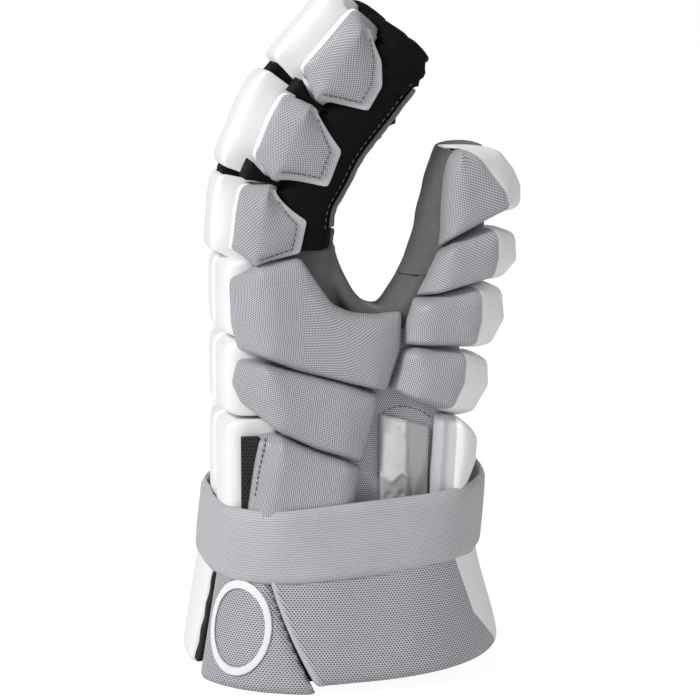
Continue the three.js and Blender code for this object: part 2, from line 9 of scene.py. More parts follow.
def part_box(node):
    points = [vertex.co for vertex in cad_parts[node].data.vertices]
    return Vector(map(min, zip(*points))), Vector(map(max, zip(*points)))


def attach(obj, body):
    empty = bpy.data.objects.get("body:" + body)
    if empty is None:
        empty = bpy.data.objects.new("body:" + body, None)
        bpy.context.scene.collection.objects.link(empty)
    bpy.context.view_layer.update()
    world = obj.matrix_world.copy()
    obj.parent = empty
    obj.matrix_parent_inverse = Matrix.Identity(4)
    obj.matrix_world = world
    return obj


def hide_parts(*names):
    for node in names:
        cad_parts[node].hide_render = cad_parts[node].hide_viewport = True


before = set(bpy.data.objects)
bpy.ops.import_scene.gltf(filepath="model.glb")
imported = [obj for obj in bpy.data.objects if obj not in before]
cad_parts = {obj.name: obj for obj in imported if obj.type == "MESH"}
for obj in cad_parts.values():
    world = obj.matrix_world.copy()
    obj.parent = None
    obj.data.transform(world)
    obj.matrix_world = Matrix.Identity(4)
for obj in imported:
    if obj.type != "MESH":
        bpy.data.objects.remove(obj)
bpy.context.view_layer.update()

# All sizes are millimetres in the frame that the hand was measured in; toFrame moves them to the part's own.
ventCorner = {"x": -59.3, "y": -47.3, "z": 64.0}  # lowest corner of the vent, in the measured frame
frameShift = np.array(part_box("vent_mesh")[0]) * 1000 - np.array(list(ventCorner.values()))


def toFrame(points):
    return (np.asarray(points, float) + frameShift) / 1000


# Numbers and curves

def mix(a, b, share):
    return a + (b - a) * share


def smoothStep(x):
    x = np.clip(x, 0, 1)
    return x * x * (3 - 2 * x)


def unit(v):
    return v / max(np.linalg.norm(v), 1e-9)


def tableAt(table, key, value):  # a row of a table at a value of its first column
    i = next((k for k in range(1, len(table)) if table[k][key] >= value - 1e-9), len(table) - 1)
    a, b = table[i - 1], table[i]
    share = (value - a[key]) / (b[key] - a[key])
    return {column: mix(a[column], b[column], share) for column in a if not isinstance(a[column], str)}


def spread(corners, counts):  # points along a path of corners, a fixed number for each stretch
    points = [np.array(corners[0], float)]
    for a, b, count in zip(corners, corners[1:], counts):
        points += [mix(np.array(a, float), np.array(b, float), (k + 1) / count) for k in range(count)]
    return np.array(points)


def eased(points, passes):  # rounds a path's corners, its ends stay
    points = np.array(points, float)
    for _ in range(passes):
        points[1:-1] = (points[:-2] + 2 * points[1:-1] + points[2:]) / 4
    return points


def edgeFall(distance, radius, drop):  # how far a rounded edge falls, at a distance from it
    x = np.clip(1 - distance / radius, 0, 1)
    return drop * (1 - math.sqrt(max(0.0, 1 - x * x)))


def bulge(v, power):
    return math.copysign(abs(v) ** (2 / power), v)


def roundSection(across, out, power, sides):
    turns = [2 * math.pi * i / sides for i in range(sides)]
    return [(across * bulge(math.cos(a), power), out * bulge(math.sin(a), power)) for a in turns]


# Meshes

def linked(name, data):
    obj = bpy.data.objects.new(name, data)
    bpy.context.scene.collection.objects.link(obj)
    return obj


def evaluated(obj):  # the finished mesh of an object, which goes
    mesh = bpy.data.meshes.new_from_object(obj.evaluated_get(bpy.context.evaluated_depsgraph_get()))
    bpy.data.objects.remove(obj, do_unlink=True)
    return mesh


def valuesOf(items, key, width=1):  # one attribute of many mesh elements as an array
    values = np.empty(len(items) * width, np.int32 if key == "vertex_index" else float)
    items.foreach_get(key, values)
    return values.reshape(-1, width) if width > 1 else values


def lengths(rows, axis=0):  # length run along a grid of points, from its first row or column
    steps = np.linalg.norm(np.diff(rows, axis=axis), axis=2)
    first = np.zeros_like(rows[:1, :, 0] if axis == 0 else rows[:, :1, 0])
    return np.concatenate([first, np.cumsum(steps, axis=axis)], axis)


def makeMesh(name, points, faces, uv=None, marks=None, material=None):
    mesh = bpy.data.meshes.new(name)
    mesh.from_pydata(toFrame(points).tolist(), [], [tuple(int(k) for k in f) for f in faces])
    if uv is not None:
        layer = mesh.uv_layers.new(name="weave")
        loops = valuesOf(mesh.loops, "vertex_index")
        layer.data.foreach_set("uv", np.asarray(uv, np.float32)[loops].ravel())
    for key, values in (marks or {}).items():
        attribute = mesh.attributes.new(key, "FLOAT", "POINT")
        attribute.data.foreach_set("value", np.asarray(values, np.float32))
    if material:
        mesh.materials.append(material)
    mesh.shade_smooth()
    mesh.validate()
    return linked(name, mesh)


def outward(points, faces):  # faces turned to point out of a closed mesh
    p = np.asarray(points, float)
    corners = [(p[f[0]], p[f[k]], p[f[k + 1]]) for f in faces for k in range(1, len(f) - 1)]
    volume = sum(np.dot(a, np.cross(b, c)) for a, b, c in corners)
    return faces if volume > 0 else [tuple(reversed(f)) for f in faces]


def rimOf(nu, nv):  # the places round the edge of a grid
    rim = [(0, j) for j in range(nv)] + [(i, nv - 1) for i in range(1, nu)]
    return rim + [(nu - 1, j) for j in range(nv - 2, -1, -1)] + [(i, 0) for i in range(nu - 2, 0, -1)]


def blockMesh(outer, inner, rimRows=2):  # a closed block between two grids: its points, faces and uv
    nu, nv = outer.shape[:2]
    count = nu * nv
    at = np.arange(count).reshape(nu, nv)
    points = [*outer.reshape(-1, 3), *inner.reshape(-1, 3)]
    faces = []
    for i in range(nu - 1):
        for j in range(nv - 1):
            quad = (at[i, j], at[i, j + 1], at[i + 1, j + 1], at[i + 1, j])
            faces.append(quad)
            faces.append(tuple(count + k for k in reversed(quad)))
    rim = rimOf(nu, nv)
    along, across = lengths(outer), lengths(outer, 1)
    across -= across[:, nv // 2][:, None]
    uv = [*np.stack([across, along], 2).reshape(-1, 2)] * 2
    rows = [[at[i, j] for i, j in rim]]
    for r in range(1, rimRows + 1):
        row = []
        for i, j in rim:
            share = r / (rimRows + 1)
            row.append(len(points))
            points.append(mix(outer[i, j], inner[i, j], share))
            depth = np.linalg.norm(outer[i, j] - inner[i, j]) * share
            push = ((j == nv - 1) - (j == 0), (i == nu - 1) - (i == 0))
            uv.append(uv[at[i, j]] + np.array(push) * depth)
        rows.append(row)
    rows.append([count + at[i, j] for i, j in rim])
    for low, high in zip(rows, rows[1:]):
        for k in range(len(rim)):
            n = (k + 1) % len(rim)
            faces.append((low[n], low[k], high[k], high[n]))
    return np.array(points), outward(points, faces), np.array(uv)


def tubeMesh(rings, capStart=True, capEnd=True, closedRun=False):  # rings of equal counts, joined one to the next
    rings = np.array(rings, float)
    n, m = rings.shape[:2]
    points = [*rings.reshape(-1, 3)]
    girth = np.cumsum(np.linalg.norm(np.roll(rings, -1, 1) - rings, axis=2), axis=1)
    girth = np.concatenate([np.zeros((n, 1)), girth[:, :-1]], 1)
    uv = [*np.stack([girth, lengths(rings)], 2).reshape(-1, 2)]
    faces = []
    for i in range(n if closedRun else n - 1):
        for j in range(m):
            k = (j + 1) % m
            faces.append((i * m + j, i * m + k, ((i + 1) % n) * m + k, ((i + 1) % n) * m + j))
    for wanted, first, turn in ((capStart, 0, -1), (capEnd, (n - 1) * m, 1)):
        if wanted and not closedRun:
            points.append(rings[first // m].mean(0))
            uv.append(uv[first])
            hub = len(points) - 1
            for j in range(m):
                pair = (first + j, first + (j + 1) % m)
                faces.append((*pair[::turn], hub))
    return np.array(points), outward(points, faces), np.array(uv)


def walledTube(outside, inside):  # a tube with a wall, open at its first ring
    op, of, ouv = tubeMesh(outside, capStart=False)
    ip, inf, iuv = tubeMesh(inside, capStart=False)
    n, start = len(outside[0]), len(op)
    faces = [tuple(f) for f in of] + [tuple(start + k for k in reversed(f)) for f in inf]
    faces += [(j, start + j, start + (j + 1) % n, (j + 1) % n) for j in range(n)]
    points = np.concatenate([op, ip])
    return points, outward(points, faces), np.concatenate([ouv, iuv])


def joined(parts):  # points and faces of several meshes as one
    points, faces = [], []
    for p, f in parts:
        start = len(points)
        points += [*p]
        faces += [tuple(start + k for k in g) for g in f]
    return points, faces


def cadPoints(name):
    return [tuple(np.array(v.co) * 1000 - frameShift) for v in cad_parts[name].data.vertices]


def skinOf(*names):  # the CAD pieces as a surface to seat the soft ones on
    shapes = [(cadPoints(name), [f.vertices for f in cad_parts[name].data.polygons]) for name in names]
    return BVHTree.FromPolygons(*joined(shapes))


seatGap = 0.3  # air between a pad and what it sits on
handSkin = skinOf("palm_shell", "thumb_stall")


def seated(point, inward, depth, start=14.0):  # the inner point under an outer one
    hit = handSkin.ray_cast(Vector(point - inward * start), Vector(inward), start + depth)
    if hit[0] is None:
        return point + inward * depth
    run = hit[3] - start - seatGap
    return point + inward * min(max(run, 0.6), depth)


# Materials

def newMaterial(name):
    material = bpy.data.materials.new(name)
    material.use_nodes = True
    tree = material.node_tree
    tree.nodes.clear()
    output = tree.nodes.new("ShaderNodeOutputMaterial")
    shader = tree.nodes.new("ShaderNodeBsdfPrincipled")
    tree.links.new(shader.outputs[0], output.inputs[0])
    return material, tree, shader


def addNode(tree, kind, inputs=None, **settings):
    node = tree.nodes.new(kind)
    for key, value in settings.items():
        setattr(node, key, value)
    for key, value in (inputs or {}).items():
        socket = node.inputs[key]
        if isinstance(value, bpy.types.NodeSocket):
            tree.links.new(value, socket)
        else:
            socket.default_value = value
    return node


def maths(tree, operation, a, b=0.0, c=0.0):
    return addNode(tree, "ShaderNodeMath", {0: a, 1: b, 2: c}, operation=operation).outputs[0]


def blendColour(tree, factor, a, b):
    return addNode(tree, "ShaderNodeMix", {0: factor, 6: a, 7: b}, data_type="RGBA").outputs[2]


def blendValue(tree, factor, a, b):
    return addNode(tree, "ShaderNodeMix", {0: factor, 2: a, 3: b}, data_type="FLOAT").outputs[0]


def addBump(tree, shader, height, strength, distance):
    bump = addNode(tree, "ShaderNodeBump", {"Strength": strength, "Distance": distance, "Height": height}).outputs[0]
    tree.links.new(bump, shader.inputs["Normal"])


def setSheen(shader, weight, roughness=0.5):
    shader.inputs["Sheen Weight"].default_value = weight
    shader.inputs["Sheen Roughness"].default_value = roughness


def newGroup(name, inputs, outputs):
    tree = bpy.data.node_groups.new(name, "ShaderNodeTree")
    for label, kind, value in inputs:
        socket = tree.interface.new_socket(label, in_out="INPUT", socket_type=kind)
        if value is not None:
            socket.default_value = value
    for label, kind in outputs:
        tree.interface.new_socket(label, in_out="OUTPUT", socket_type=kind)
    return tree, tree.nodes.new("NodeGroupInput"), tree.nodes.new("NodeGroupOutput")


def placeGroup(tree, group, inputs):
    return addNode(tree, "ShaderNodeGroup", inputs, node_tree=group)


def placeTone(tree, place, colour, scale, amount):
    return placeGroup(tree, clothTone, {"Place": place, "Colour": colour, "Scale": scale, "Amount": amount})


def buildMeshWeave():  # offset rows of oval holes between satin threads
    tree, given, result = newGroup(
        "meshWeave",
        [("Place", "NodeSocketVector", None), ("Pitch", "NodeSocketFloat", 1.0), ("Row", "NodeSocketFloat", 0.8),
         ("Hole", "NodeSocketFloat", 0.6)],
        [("Thread", "NodeSocketFloat"), ("Height", "NodeSocketFloat")],
    )
    split = addNode(tree, "ShaderNodeSeparateXYZ", {0: given.outputs["Place"]})
    y = maths(tree, "DIVIDE", split.outputs[1], given.outputs["Row"])
    row = maths(tree, "FLOOR", y)
    offset = maths(tree, "MULTIPLY", maths(tree, "FLOORED_MODULO", row, 2.0), 0.5)
    x = maths(tree, "ADD", maths(tree, "DIVIDE", split.outputs[0], given.outputs["Pitch"]), offset)
    fx = maths(tree, "SUBTRACT", maths(tree, "FRACT", x), 0.5)
    fy = maths(tree, "SUBTRACT", maths(tree, "FRACT", y), 0.5)
    square = maths(tree, "ADD", maths(tree, "MULTIPLY", fx, fx), maths(tree, "MULTIPLY", fy, fy))
    reach = maths(tree, "MULTIPLY", maths(tree, "SQRT", square), 2.0)
    low = maths(tree, "SUBTRACT", given.outputs["Hole"], 0.25)
    high = maths(tree, "ADD", given.outputs["Hole"], 0.3)
    ramp = addNode(
        tree, "ShaderNodeMapRange", {"Value": reach, "From Min": low, "From Max": high}, interpolation_type="SMOOTHSTEP"
    ).outputs[0]
    tree.links.new(ramp, result.inputs["Thread"])
    tree.links.new(ramp, result.inputs["Height"])
    return tree


def buildClothTone():  # slow change of colour over cloth, as dye and handling leave it
    tree, given, result = newGroup(
        "clothTone",
        [("Place", "NodeSocketVector", None), ("Colour", "NodeSocketColor", None), ("Scale", "NodeSocketFloat", 30.0),
         ("Amount", "NodeSocketFloat", 0.08)],
        [("Colour", "NodeSocketColor"), ("Mask", "NodeSocketFloat")],
    )
    noise = addNode(tree, "ShaderNodeTexNoise", {
        "Vector": given.outputs["Place"], "Scale": given.outputs["Scale"], "Detail": 4.0, "Roughness": 0.6,
    }).outputs[0]
    doubled = maths(tree, "MULTIPLY", given.outputs["Amount"], 2.0)
    share = maths(tree, "MULTIPLY", maths(tree, "SUBTRACT", noise, 0.5), doubled)
    gain = maths(tree, "ADD", share, 1.0)
    scaled = addNode(tree, "ShaderNodeVectorMath", {0: given.outputs["Colour"], "Scale": gain}, operation="SCALE")
    tree.links.new(scaled.outputs[0], result.inputs["Colour"])
    tree.links.new(noise, result.inputs["Mask"])
    return tree


def buildFineGrain():  # short nap of suede or the fine grain of a coated cloth
    tree, given, result = newGroup(
        "fineGrain",
        [("Place", "NodeSocketVector", None), ("Scale", "NodeSocketFloat", 900.0), ("Stretch", "NodeSocketFloat", 1.0)],
        [("Height", "NodeSocketFloat"), ("Mask", "NodeSocketFloat")],
    )
    wide = addNode(tree, "ShaderNodeCombineXYZ", {0: 1.0, 1: given.outputs["Stretch"], 2: 1.0}).outputs[0]
    place = addNode(tree, "ShaderNodeVectorMath", {0: given.outputs["Place"], 1: wide}, operation="MULTIPLY").outputs[0]
    scale = given.outputs["Scale"]
    fine = addNode(tree, "ShaderNodeTexNoise", {
        "Vector": place, "Scale": scale, "Detail": 3.0, "Roughness": 0.7,
    }).outputs[0]
    coarse = addNode(tree, "ShaderNodeTexNoise", {
        "Vector": place, "Scale": maths(tree, "MULTIPLY", scale, 0.12), "Detail": 5.0, "Roughness": 0.6,
    }).outputs[0]
    tree.links.new(fine, result.inputs["Height"])
    tree.links.new(coarse, result.inputs["Mask"])
    return tree


meshWeave = buildMeshWeave()
clothTone = buildClothTone()
fineGrain = buildFineGrain()

coverLook = {
    "thread": (0.57, 0.56, 0.6, 1),
    "hole": (0.07, 0.068, 0.082, 1),
    "white": (0.86, 0.86, 0.865, 1),
    # border colour: pressed tab edges, and painted shade on the thumb's base pad
    "border": (0.66, 0.655, 0.68, 1),
    "threadRough": 0.3,
    "whiteRough": 0.42,
}


def padCover(name, pitch, row, hole, look=coverLook):
    # grey mesh where tone is below nought and smooth white cover above; border is the pressed edge of a tab, and on the
    # thumb's base pad it helps paint shade as a plain grey on the white cover where it turns from the light
    material, tree, shader = newMaterial(name)
    place = addNode(tree, "ShaderNodeUVMap", uv_map="weave").outputs[0]
    objectPlace = addNode(tree, "ShaderNodeTexCoord").outputs["Object"]
    weave = placeGroup(tree, meshWeave, {"Place": place, "Pitch": pitch, "Row": row, "Hole": hole})
    thread = weave.outputs["Thread"]
    tone = addNode(tree, "ShaderNodeAttribute", attribute_name="tone").outputs["Fac"]
    border = addNode(tree, "ShaderNodeAttribute", attribute_name="border").outputs["Fac"]
    isWhite = addNode(tree, "ShaderNodeMapRange", {"Value": tone, "From Min": -0.2, "From Max": 0.2}).outputs[0]
    tinted = placeTone(tree, objectPlace, look["thread"], 45.0, 0.1)
    grey = blendColour(tree, thread, look["hole"], tinted.outputs["Colour"])
    # painted shade: on the thumb's base pad this plain grey stands in for the white cover in shade; on the finger tabs
    # it is their pressed edge
    pressedEdgeAndShade = blendColour(tree, maths(tree, "MULTIPLY", border, 0.55), grey, look["border"])
    whiteTone = placeTone(tree, objectPlace, look["white"], 25.0, 0.03)
    colour = blendColour(tree, isWhite, pressedEdgeAndShade, whiteTone.outputs["Colour"])
    tree.links.new(colour, shader.inputs["Base Color"])
    holeRough = maths(tree, "MULTIPLY", maths(tree, "SUBTRACT", 1.0, thread), 0.35)
    rough = maths(tree, "ADD", look["threadRough"], holeRough)
    tree.links.new(blendValue(tree, isWhite, rough, look["whiteRough"]), shader.inputs["Roughness"])
    grain = placeGroup(tree, fineGrain, {"Place": objectPlace, "Scale": 1500.0, "Stretch": 1.0})
    whiteHeight = maths(tree, "MULTIPLY", grain.outputs["Height"], 0.12)
    addBump(tree, shader, blendValue(tree, isWhite, thread, whiteHeight), 0.55, 0.00022)
    setSheen(shader, 0.12, 0.4)
    return material


def suedeLook(name, colour, scale, roughness, depth, amount=0.22):
    material, tree, shader = newMaterial(name)
    place = addNode(tree, "ShaderNodeTexCoord").outputs["Object"]
    grain = placeGroup(tree, fineGrain, {"Place": place, "Scale": scale, "Stretch": 0.7})
    toned = placeTone(tree, place, colour, 90.0, amount)
    worn = placeTone(tree, place, toned.outputs["Colour"], scale * 0.4, amount)
    tree.links.new(worn.outputs["Colour"], shader.inputs["Base Color"])
    rough = maths(tree, "ADD", roughness, maths(tree, "MULTIPLY", grain.outputs["Mask"], 0.12))
    tree.links.new(rough, shader.inputs["Roughness"])
    height = maths(tree, "ADD", grain.outputs["Height"], maths(tree, "MULTIPLY", grain.outputs["Mask"], 2.0))
    addBump(tree, shader, height, 0.4, depth)
    setSheen(shader, 0.25)
    return material


def stretchLook(name, colour, pitch):  # fine black stretch cloth of the finger stalls and the vent
    material, tree, shader = newMaterial(name)
    place = addNode(tree, "ShaderNodeUVMap", uv_map="weave").outputs[0]
    weave = placeGroup(tree, meshWeave, {"Place": place, "Pitch": pitch, "Row": pitch * 0.8, "Hole": 0.55})
    low = tuple(c * 0.45 for c in colour[:3]) + (1,)
    tree.links.new(blendColour(tree, weave.outputs["Thread"], low, colour), shader.inputs["Base Color"])
    rough = maths(tree, "SUBTRACT", 0.92, maths(tree, "MULTIPLY", weave.outputs["Thread"], 0.2))
    tree.links.new(rough, shader.inputs["Roughness"])
    addBump(tree, shader, weave.outputs["Height"], 0.5, 0.0002)
    shader.inputs["Specular IOR Level"].default_value = 0.12
    return material


def ribKnit(name, light, dark, pitch):  # fine courses of knit along the strap
    material, tree, shader = newMaterial(name)
    place = addNode(tree, "ShaderNodeUVMap", uv_map="weave").outputs[0]
    weave = placeGroup(tree, meshWeave, {"Place": place, "Pitch": pitch * 1.25, "Row": pitch, "Hole": 0.5})
    split = addNode(tree, "ShaderNodeSeparateXYZ", {0: place})
    wave = maths(tree, "SINE", maths(tree, "MULTIPLY", split.outputs[1], math.pi / pitch))
    rib = maths(tree, "ADD", maths(tree, "MULTIPLY", maths(tree, "MULTIPLY", wave, wave), 0.6),
                maths(tree, "MULTIPLY", weave.outputs["Thread"], 0.4))
    toned = placeTone(tree, addNode(tree, "ShaderNodeTexCoord").outputs["Object"], light, 40.0, 0.12)
    tree.links.new(blendColour(tree, rib, dark, toned.outputs["Colour"]), shader.inputs["Base Color"])
    rough = maths(tree, "SUBTRACT", 0.75, maths(tree, "MULTIPLY", rib, 0.25))
    tree.links.new(rough, shader.inputs["Roughness"])
    addBump(tree, shader, rib, 0.6, 0.00025)
    setSheen(shader, 0.1)
    return material


def clearLook(name):
    material, tree, shader = newMaterial(name)
    frosted = addNode(tree, "ShaderNodeAttribute", attribute_name="tone").outputs["Fac"]
    place = addNode(tree, "ShaderNodeTexCoord").outputs["Object"]
    toned = placeTone(tree, place, (0.86, 0.87, 0.88, 1), 70.0, 0.3)
    colour = blendColour(tree, frosted, (0.36, 0.36, 0.37, 1), toned.outputs["Colour"])
    tree.links.new(colour, shader.inputs["Base Color"])
    rough = maths(tree, "ADD", 0.08, maths(tree, "MULTIPLY", toned.outputs["Mask"], 0.12))
    tree.links.new(rough, shader.inputs["Roughness"])
    shader.inputs["Coat Weight"].default_value = 0.6
    shader.inputs["Transmission Weight"].default_value = 0.2
    shader.inputs["IOR"].default_value = 1.45
    return material


padMaterial = padCover("padCover", 1.05, 0.9, 0.64)
flapMaterial = padCover("cuffCover", 1.45, 1.0, 0.66)
suedeMaterial = suedeLook("palmSuede", (0.108, 0.11, 0.108, 1), 1100.0, 0.72, 0.0002)
liningMaterial = stretchLook("wristLining", (0.03, 0.034, 0.03, 1), 1.6)
stallMaterial = stretchLook("stallCloth", (0.005, 0.005, 0.0055, 1), 0.9)
ventMaterial = stretchLook("ventMesh", (0.03, 0.03, 0.031, 1), 2.0)
strapMaterial = ribKnit("strapKnit", (0.66, 0.655, 0.685, 1), (0.15, 0.145, 0.165, 1), 1.15)
clearMaterial = clearLook("clearPlate")  # moulded plastic, clear at the foot and frosted on the panel
threadDark = suedeLook("threadDark", (0.09, 0.088, 0.1, 1), 2500.0, 0.6, 0.0001)
threadPale = suedeLook("threadPale", (0.12, 0.12, 0.125, 1), 2500.0, 0.6, 0.0001)
printMaterial = suedeLook("whitePrint", (0.83, 0.83, 0.84, 1), 1500.0, 0.5, 0.00008, 0.03)
print("materials ready")

pieces = []  # each finished piece: object, CAD nodes it stands for, slot, and whether it is padded


def keep(obj, nodes, slotName, isPadded=False):
    pieces.append({"obj": obj, "nodes": nodes, "slot": slotName, "padded": isPadded})


padJobs = []  # pads that wait for the swelling


def addPad(name, outer, inner, tone, slotName, border=None, material=padMaterial, held=5.0, uvOf=None):
    points, faces, uv = blockMesh(outer, inner)
    if uvOf:
        uv = uvOf(points)
    nu, nv = outer.shape[:2]
    count = nu * nv
    rim = [i * nv + j for i, j in rimOf(nu, nv)]
    rimRows = (len(points) - 2 * count) // len(rim)
    tone = tone.ravel()
    border = np.zeros(count) if border is None else border.ravel()
    marks = {
        "tone": np.concatenate([tone, tone, *[tone[rim]] * rimRows]),
        "border": np.concatenate([border, np.zeros(count), *[border[rim]] * rimRows]),
    }
    obj = makeMesh(name, points, faces, uv, marks, material)
    # free to swell away from the pad's rim
    steps = [np.linalg.norm(np.diff(outer, axis=axis), axis=2).mean() for axis in (0, 1)]
    free = np.zeros(len(points))
    for i in range(nu):
        for j in range(nv):
            reach = min(min(i, nu - 1 - i) * steps[0], min(j, nv - 1 - j) * steps[1])
            free[i * nv + j] = smoothStep(reach / held)
    padJobs.append({"obj": obj, "free": free})
    keep(obj, [name], slotName, True)


# Fingers

fingerSizes = {
    "pitch": 27.0, "stallWidth": 22.6, "stallDepth": 29.0, "square": 2.5, "tipRound": 10.0, "tipReach": 7.0,
    "wall": 1.6, "padWidth": 26.0, "tabThickness": 1.3, "crumple": 1.4, "begin": 14.0,
    "baseX": -36.5, "baseZ": 176.0, "knuckleZ": 197.3, "palmWidth": 15.0, "palmThickness": 1.2,
}
fingers = [
    {"name": "index", "side": -1.5, "forward": 0, "fan": -2, "bends": [(43, 7), (30, 28), (50, 38)],
     "cuts": (0.17, 0.43, 0.73)},
    {"name": "middle", "side": -0.5, "forward": -4, "fan": -0.7, "bends": [(48, 6), (30, 23), (52, 41)],
     "cuts": (0.16, 0.43, 0.74)},
    {"name": "ring", "side": 0.5, "forward": -0.5, "fan": 0.7, "bends": [(45, 9), (30, 31), (48, 47)],
     "cuts": (0.17, 0.43, 0.73)},
    {"name": "little", "side": 1.5, "forward": 5, "fan": 2.4, "bends": [(40, 14), (24, 36), (38, 50)],
     "cuts": (0.21, 0.45, 0.73)},
]
# places on a finger's open side, as (millimetres along the index finger, height above its middle)
fingerPadEdges = [
    {"tab": [(20.5, 0.1), (35.1, -1.9), (44.0, 15.5)],
     "ridge": [(12.5, 19.5), (45.1, 18.4)], "back": [(18.2, 32.2), (43.4, 31.2)]},
    {"tab": [(54.0, -5.4), (70.9, -3.6), (79.3, 17.5)],
     "ridge": [(46.0, 18.4), (79.6, 20.0)], "back": [(49.0, 31.4), (77.7, 33.6)]},
    {"tab": [(92.5, -2.2), (104.8, -0.5), (113.3, 6.6), (120.9, 20.0)],
     "ridge": [(81.5, 20.3), (121.1, 23.2)], "back": [(87.2, 34.0), (124.4, 32.0)]},
]
padLook = {"ridgeOut": 4.8, "backIn": 0.9, "lean": 5.2, "hiddenBack": 31.0, "tipRise": 1.6, "notchTop": 28.6}


def edgeAt(edge, u):  # a point along a measured edge, at a share of its length
    places = np.array(edge)
    run = np.concatenate([[0], np.cumsum(np.linalg.norm(np.diff(places, axis=0), axis=1))])
    return np.array([np.interp(u * run[-1], run, places[:, k]) for k in range(2)])


def padStretch(finger, line, k):  # (scale, offset) that takes lengths on the index finger to this one's
    first, last = (c * indexTotal for c in (indexCuts[k], [*indexCuts, 1.02][k + 1]))
    low, high = (c * line.total for c in (finger["cuts"][k], [*finger["cuts"], 1.02][k + 1]))
    scale = (high - low) / (last - first)
    return scale, low - first * scale


class FingerLine:  # a smooth line through the middle of a finger, measured along its length
    def __init__(self, finger):
        size = fingerSizes
        fan = math.radians(finger["fan"])
        self.across = np.array([0, math.cos(fan), -math.sin(fan)])
        points = [np.array([size["baseX"] + finger["forward"], finger["side"] * size["pitch"], size["baseZ"]])]
        for length, lean in finger["bends"]:
            a = math.radians(lean)
            step = np.array([math.sin(a), math.cos(a) * math.sin(fan), math.cos(a) * math.cos(fan)])
            points += [points[-1] + step * length / 2]
            points += [points[-1] + step * length / 2]
        full = [2 * points[0] - points[1], *points, 2 * points[-1] - points[-2]]
        line = []
        for k in range(1, len(full) - 2):
            p0, p1, p2, p3 = full[k - 1:k + 3]
            d0, d1, d2 = (max(np.linalg.norm(b - a) ** 0.5, 1e-4) for a, b in ((p0, p1), (p1, p2), (p2, p3)))
            t1 = ((p1 - p0) / d0 - (p2 - p0) / (d0 + d1) + (p2 - p1) / d1) * d1
            t2 = ((p2 - p1) / d1 - (p3 - p1) / (d1 + d2) + (p3 - p2) / d2) * d1
            for t in np.linspace(0, 1, 60, endpoint=False):
                squared, cubed = -3 * p1 + 3 * p2 - 2 * t1 - t2, 2 * p1 - 2 * p2 + t1 + t2
                line.append(p1 + t1 * t + squared * t ** 2 + cubed * t ** 3)
        line.append(points[-1])
        self.line = np.array(line)
        self.run = np.concatenate([[0], np.cumsum(np.linalg.norm(np.diff(self.line, axis=0), axis=1))])
        self.total = self.run[-1]

    def at(self, s):
        c = min(max(s, 0), self.total)
        point = np.array([np.interp(c, self.run, self.line[:, k]) for k in range(3)])
        a, b = (min(max(c + d, 0), self.total) for d in (-0.6, 0.6))
        ends = [np.array([np.interp(x, self.run, self.line[:, k]) for k in range(3)]) for x in (a, b)]
        along = unit(ends[1] - ends[0])
        return point + along * (s - c), along, self.across, unit(np.cross(along, self.across))

    def place(self, s, w, d, tilt=0.0):
        point, along, across, out = self.at(s)
        return point + across * w + out * d - along * tilt * d


fingerLines = [FingerLine(f) for f in fingers]
indexTotal, indexCuts = fingerLines[0].total, fingers[0]["cuts"]


def stallReach(at, grow, along="stallWidth", out="stallDepth"):  # how far a stall's section stands out
    size = fingerSizes
    share = min(abs(at) / (size[along] / 2 + grow), 1)
    return (size[out] / 2 + grow) * (1 - share ** size["square"]) ** (1 / size["square"])


